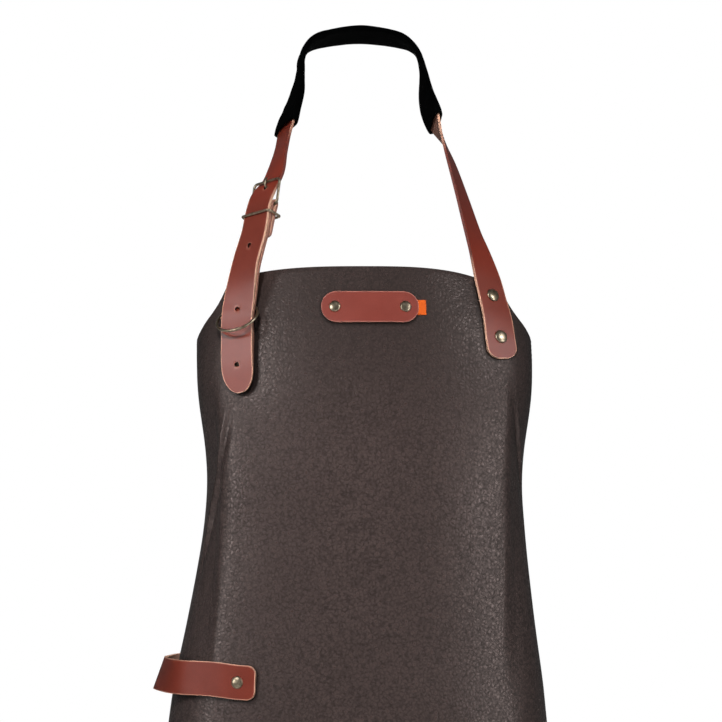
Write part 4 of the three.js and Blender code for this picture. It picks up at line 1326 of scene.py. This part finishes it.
def ripple_at(arc, down):
    """Slow unevenness of a worn hide, none at the top, where the straps and label lie flat."""
    fade = smoothstep(down, *ripple_begins)
    place = (arc / ripple_size, down / (ripple_stretch * ripple_size), ripple_slice)
    cloud = noise.noise(Vector(place))
    fine_across, fine_down = fine_ripple_size
    fine = noise.noise(Vector((arc / fine_across, down / fine_down, fine_ripple_slice)))
    return fade * ripple_height * (cloud + fine_ripple_share * fine)


def near_belt(arc, down):
    """How much a place lies under the belt's riveted ends, where the sheet stays as it is."""
    side = min(abs(arc + belt_rivet_side), abs(arc - flat_half_width + belt_right_rivet_in))
    across = 1 - smoothstep(side, *belt_flat_across)
    return across * (1 - smoothstep(abs(down - belt_below_top), *belt_flat_down))


def laid_sheet(name, columns, rows, place, stand, finishes, node):
    """An open surface on the sheet's form: place(i, j) on it, and how far each place stands off."""
    bm, index = grid(columns, rows)
    flat = {}
    for vert, (i, j) in index.items():
        flat[vert] = arc, down = place(i, j)
        vert.co = on_sheet(arc, down, stand(arc, down)) * MM
    map_flat(bm, flat)
    face_away_from(bm, wearer)
    return finished(name, bm, finishes, node)


def apron_sheet():

    def place(i, j):
        down = apron_length * j / sheet_levels
        side = 2 * i / sheet_columns - 1
        return edge_at(down) * (side + column_crowding * math.sin(2 * math.pi * side)), down

    def relief(arc, down):
        folded = crease_at(arc, down) + shoulder_at(arc, down)
        return folded + ripple_at(arc, down) * (1 - near_belt(arc, down))

    piece = laid_sheet("apron_sheet", sheet_columns, sheet_levels, place, relief, apron_finishes,
                       "apron_body")
    wall(piece, sheet_thickness, sheet_edge_round, -1)
    return piece


def flat_area():
    """The area of the cut sheet in square millimetres, by 200 level strips."""
    strip = apron_length / 200
    return sum(2 * edge_at((i + 0.5) * strip) * strip for i in range(200))


apron_sheet()
flat_area() * MM * MM


# Straps

post_hole = post_diameter / 2 + small_gap


def holes_for(path, stand, *names):
    """Where a strap has its holes for some rivets, and their radius."""
    holes = []
    for name in names:
        spot = on_sheet(*rivets[name][:2], stand)
        nearest = min(path, key=lambda section: (section[1] - spot).length)
        holes.append((nearest[0] + (spot - nearest[1]).dot(nearest[2]), post_hole))
    return holes


tongue_holes = [(neck_length - distance, hole_radius) for distance in holes_from_tip]
end_holes = holes_for(neck_path, strap_gap, "strap_rivet_upper", "strap_rivet_lower")
strap_on_path(
    "neck_strap_leather", "neck_strap", neck_path, 0, neck_length, strap_width, strap_thickness,
    neck_finishes, [(0, strap_end_round, 0.12), (neck_length, tongue_round, 0.06)],
    tongue_holes + end_holes,
)

buckle_path = buckle_strap_path()
buckle_path_length = buckle_path[-1][0]
strap_on_path(
    "buckle_strap_leather", "buckle_strap", buckle_path, 0, buckle_path_length, strap_width,
    strap_thickness, buckle_strap_finishes,
    [(end, buckle_strap_round, 0.72) for end in (0, buckle_path_length)],
    holes_for(buckle_path, strap_gap, "buckle_strap_rivet_upper", "buckle_strap_rivet_lower"),
)

waist_path = belt_path()
behind = [section for section in waist_path if section[1].y > 0]
waist_middle = min(behind, key=lambda section: abs(section[1].x))[0]
waist_length = waist_path[-1][0]
for side, start, end, tip in (
    ("left", 0, waist_middle - belt_split / 2, 0),
    ("right", waist_middle + belt_split / 2, waist_length, waist_length),
):
    strap_on_path(
        f"waist_belt_{side}_leather", "waist_belt_" + side, waist_path, start, end, belt_width,
        belt_thickness, belt_finishes, [(tip, belt_end_round, 0.5)],
        holes_for(waist_path, belt_gap, "waist_rivet_" + side),
    )


# Label and tag

def label():
    half, radius = label_length / 2, label_height / 2
    holes = [(side * label_rivet_span / 2, post_hole) for side in (-1, 1)]
    ends = [(-half, radius), (half, radius)]
    stations = along_stations(-half, half, holes, label_pace, label_height / label_ribs, ends)

    def half_height(along):
        return radius * round_share(half - abs(along), radius, 0.04)

    def place(along, across):
        arc, down = label_aside + along, label_below_top + across
        return laid_row(arc, down, small_gap + label_thickness / 2)

    leather_strip(
        "label_leather", stations, label_ribs, half_height, place, holes, label_finishes,
        label_thickness, "label_patch",
    )


def tag():
    label_end = label_aside + label_length / 2
    start, end = label_end - tag_covered, label_end + tag_reach

    def place(i, j):
        down = label_below_top + tag_height * (j / tag_cells - 0.5)
        return start + (end - start) * i / tag_cells, down

    piece = laid_sheet("tag_ribbon_end", tag_cells, tag_cells, place,
                       lambda arc, down: small_gap + tag_thickness / 2, [tag_finish], "side_tag")
    wall(piece, tag_thickness, cloth_edge_round)
    return piece


label()
tag()


# Sleeve

def crumple_at(along, c, s):
    """Small unevenness of the sleeve's cloth, by the distance along it and the way round it."""
    total = 0.0
    for size, turns, slice_at, share in crumple_rows:
        total += share * noise.noise(Vector((along / size, turns * c, turns * s + slice_at)))
    return total


def sleeve():
    """The fabric tube: flat round the strap, fuller at its mouths and a little crumpled."""
    over_nape = [section for section in neck_path if section[1].z > -0.1 * nape_above_bib]
    middle = min(over_nape, key=lambda section: abs(section[1].x))[0] + sleeve_shift
    start, end = middle - sleeve_length / 2, middle + sleeve_length / 2
    bm, index = grid(sleeve_stations, sleeve_sides)
    flat = {}
    for vert, (i, j) in index.items():
        along = start + sleeve_length * i / sleeve_stations
        _, point, _, across, outward = section_at(neck_path, along)
        from_end = max(min(along - start, end - along), 0)
        open_share = smoothstep(sleeve_mouth_length - from_end, 0, sleeve_mouth_length)
        bulk = sleeve_bulk + (sleeve_mouth_bulk - sleeve_bulk) * open_share
        angle = 2 * math.pi * j / sleeve_sides
        c, s = math.cos(angle), math.sin(angle)
        side = math.copysign(abs(c) ** sleeve_side_power, c)
        face = math.copysign(abs(s) ** sleeve_face_power, s)
        puff = sleeve_crumple * crumple_at(along, c, s) * abs(s)
        edge = point + across * (side * (sleeve_width / 2))
        vert.co = (edge + outward * (face * bulk / 2 + puff * face)) * MM
        flat[vert] = (along, sleeve_girth * j / sleeve_sides)
    map_flat(bm, flat)
    join_up(bm)
    line = [section[1] * MM for section in neck_path if start - 5 < section[0] < end + 5]
    face_away_from(bm, lambda point: min(line, key=lambda p: (p - point).length_squared))
    piece = finished("sleeve_cloth_tube", bm, [sleeve_finish], "neck_sleeve")
    wall(piece, sleeve_wall, cloth_edge_round, -1)
    return piece


sleeve()


# Metalwork

frame_width = strap_width + 2 * frame_side_room + metal_thickness
frame_lift = bar_behind + bar_ahead
frame_span = math.hypot(buckle_length, frame_lift)


def rectangle_wire(name, node, origin, directions, rise, height, corner):
    """A wire as wide as the buckle's frame, bent to a rounded rectangle whose middle is rise up."""
    across, up, level = directions

    def line(t):
        place, out = rounded_rectangle(frame_width, height, corner, t)
        point = origin + across * place.x + up * (place.y + rise)
        return point, across * out.x + up * out.y, level

    wire(name, node, wire_steps, wire_sides, line, lambda t: metal_half)


def buckle_frame():
    lean = math.atan2(frame_lift, buckle_length)
    climb = bar_up * math.cos(lean) + bar_out * math.sin(lean)
    level = bar_out * math.cos(lean) - bar_up * math.sin(lean)
    rectangle_wire("buckle_frame_wire", "buckle_frame", bar_centre, (bar_side, climb, level),
                   frame_span / 2, frame_span, frame_corner)


def buckle_prong():
    """A wire that hooks round the rear bar, passes through the strap and rests on the outer bar."""
    half = prong_diameter / 2
    loop_radius = metal_half + small_gap + half + 0.1
    top = bar_behind + bar_ahead + metal_half + small_gap + half
    hole = buckle_length - prong_hole_to_bar
    behind_strap = bar_behind - strap_thickness / 2 - small_gap - 1.6 * half
    rows = []
    for degrees in range(250, 19, -46):
        angle = math.radians(degrees)
        rows.append((loop_radius * math.sin(angle), loop_radius * math.cos(angle)))
    rows += [
        (0.40 * hole, behind_strap),
        (0.82 * hole, behind_strap),
        (hole, bar_behind),
        (hole + 0.3 * prong_hole_to_bar, bar_behind + 0.7 * (top - bar_behind)),
        (buckle_length, top),
        (buckle_length + 0.9 * metal_thickness, top - 0.3 * half),
    ]
    points = [Vector((0, up, out)) for up, out in rows]

    def line(t):
        share = min(max((t - prong_taper) / (1 - 2 * prong_taper), 0), 1)
        place = curve_point(points, share)
        step = curve_point(points, min(share + 0.002, 1)) - curve_point(points, max(share - 0.002, 0))
        normal = Vector((0, -step.z, step.y)).normalized()
        point = bar_centre + bar_side * place.x + bar_up * place.y + bar_out * place.z
        return point, bar_up * normal.y + bar_out * normal.z, bar_side

    def radius(t):
        return half * math.sqrt(min(t, 1 - t, prong_taper) / prong_taper)

    wire("buckle_prong_wire", "buckle_prong", prong_steps, prong_sides, line, radius)


def keeper():
    _, point, tangent, across, outward = from_tip(rear_bar - keeper_below_bar)
    front = strap_thickness / 2 + small_gap + metal_half
    back = front - keeper_depth - metal_thickness
    rectangle_wire("strap_keeper_wire", "strap_keeper", point, (across, outward, tangent),
                   (front + back) / 2, front - back, metal_thickness)


def ring():
    """The ring hangs round both straps, tilted so that its front is lower than its back."""
    _, point, tangent, _, outward = from_tip(ring_height_on_tongue)
    up = -tangent
    side = up.cross(outward)
    middle = point + outward * (ring_ahead - strap_gap)
    tilt, turn = math.radians(ring_tilt), math.radians(ring_turn)
    radius = (ring_outer_diameter - ring_wire) / 2

    def turned(vector):
        x, y = vector.x, vector.y * math.cos(tilt) + vector.z * math.sin(tilt)
        z = -vector.y * math.sin(tilt) + vector.z * math.cos(tilt)
        x, y = x * math.cos(turn) - y * math.sin(turn), x * math.sin(turn) + y * math.cos(turn)
        return side * x + up * y + outward * z

    def line(t):
        out = turned(direction(2 * math.pi * t).to_3d())
        return middle + out * radius, out, turned(Vector((0, 0, 1)))

    wire("hanging_ring_wire", "hanging_ring", ring_steps, wire_sides, line, lambda t: ring_wire / 2)


def clasp():
    """A plain flat tube that the two belt ends meet in."""
    _, point, _, across, outward = section_at(waist_path, waist_middle)
    along = across.cross(outward)
    room = 2 * small_gap + clasp_wall / 2
    width, height = belt_width + 2 * room, belt_thickness + 2 * room

    def place(s, t):
        spot, _ = rounded_rectangle(width, height, clasp_corner, t)
        return point + across * spot.x + outward * spot.y + along * (clasp_length * (s - 0.5))

    bm = closed_surface(clasp_steps, clasp_sides, place)
    face_away_from(bm, lambda spot: point * MM)
    piece = finished("waist_clasp_tube", bm, [brass_finish], "waist_clasp")
    wall(piece, clasp_wall, cut_edge_round)


buckle_frame()
buckle_prong()
keeper()
ring()
clasp()


# Floor, lights and camera, in metres

floor_half = 2.6
floor_below = 0.12

# The lights: name, place, target, size, power, spread in degrees, and what they reach.
ALL, MATT_ONLY, GLOSS_ONLY = (True, True), (True, False), (False, True)
light_rows = [
    ("front_fill", (-0.3, -3.4, 0.5), (0.0, -0.2, -0.45), (1.2, 1.2), 50, 180, MATT_ONLY),
    ("key", (-0.55, -3.0, 1.30), (0.0, -0.15, -0.46), (0.26, 0.26), 5.7, 36, MATT_ONLY),
    ("back_fill", (0.8, 3.3, 0.6), (0.0, 0.1, -0.45), (1.2, 1.2), 70, 180, MATT_ONLY),
    ("top_front", (0.0, -1.9, 2.2), (0.0, -0.1, -0.40), (0.7, 0.5), 2, 180, ALL),
    ("left_high", (-1.54, -1.64, 0.69), (-0.1, -0.15, -0.38), (0.45, 0.45), 17.5, 180, GLOSS_ONLY),
    ("left_side", (-2.10, -1.36, -0.34), (-0.1, -0.15, -0.40), (0.30, 0.62), 12.5, 180, GLOSS_ONLY),
    ("right_side", (1.94, -1.56, -0.50), (0.1, -0.15, -0.50), (0.32, 1.1), 13.5, 180, GLOSS_ONLY),
    ("right_high", (1.72, -1.27, 0.84), (0.1, -0.15, -0.35), (0.45, 0.45), 11, 180, GLOSS_ONLY),
]
backdrop_seen = 1.0
backdrop_light = 0.10

camera_lens = 205.6
camera_sensor = 36
camera_place = (-0.21704, -4.18952, -0.3293)
camera_turn = -3


def studio_floor():
    paint, _, _ = new_finish("floor_paint", {"Roughness": 0.8, "Base Color": (0.86, 0.86, 0.86, 1)})
    bm = bmesh.new()
    bmesh.ops.create_grid(bm, x_segments=1, y_segments=1, size=floor_half)
    bmesh.ops.translate(bm, verts=bm.verts, vec=(0, 0, cad_low.z - floor_below))
    as_object("floor", bm, [paint])


def softbox(name, place, target, size, power, spread, reaches):
    data = bpy.data.lights.new(name, "AREA")
    data.shape = "RECTANGLE"
    data.size, data.size_y = size
    data.energy = power
    data.spread = math.radians(spread)
    light = bpy.data.objects.new(name, data)
    light.location = place
    light.visible_diffuse, light.visible_glossy = reaches
    light.rotation_euler = (Vector(target) - Vector(place)).to_track_quat("-Z", "Y").to_euler()
    bpy.context.scene.collection.objects.link(light)


def surroundings():
    """A white backdrop that lights the apron only a little."""
    world = bpy.data.worlds.new("studio")
    world.use_nodes = True
    world.node_tree.nodes.clear()
    nodes = Nodes(world.node_tree)
    seen, lit = (
        nodes.add("Background", {"Color": (1, 1, 1, 1), "Strength": strength})[0]
        for strength in (backdrop_seen, backdrop_light)
    )
    to_camera = nodes.add("LightPath", {})["Is Camera Ray"]
    mixed = nodes.add("MixShader", {0: to_camera, 1: lit, 2: seen})[0]
    nodes.add("OutputWorld", {"Surface": mixed})
    bpy.context.scene.world = world


def front_camera():
    data = bpy.data.cameras.new("camera")
    data.lens = camera_lens
    data.sensor_width = camera_sensor
    camera = bpy.data.objects.new("camera", data)
    camera.location = camera_place
    camera.rotation_euler = (math.radians(90), 0, math.radians(camera_turn))
    bpy.context.scene.collection.objects.link(camera)
    bpy.context.scene.camera = camera


studio_floor()
for row in light_rows:
    softbox(*row)
surroundings()
front_camera()
bpy.context.scene.view_settings.view_transform = "Standard"
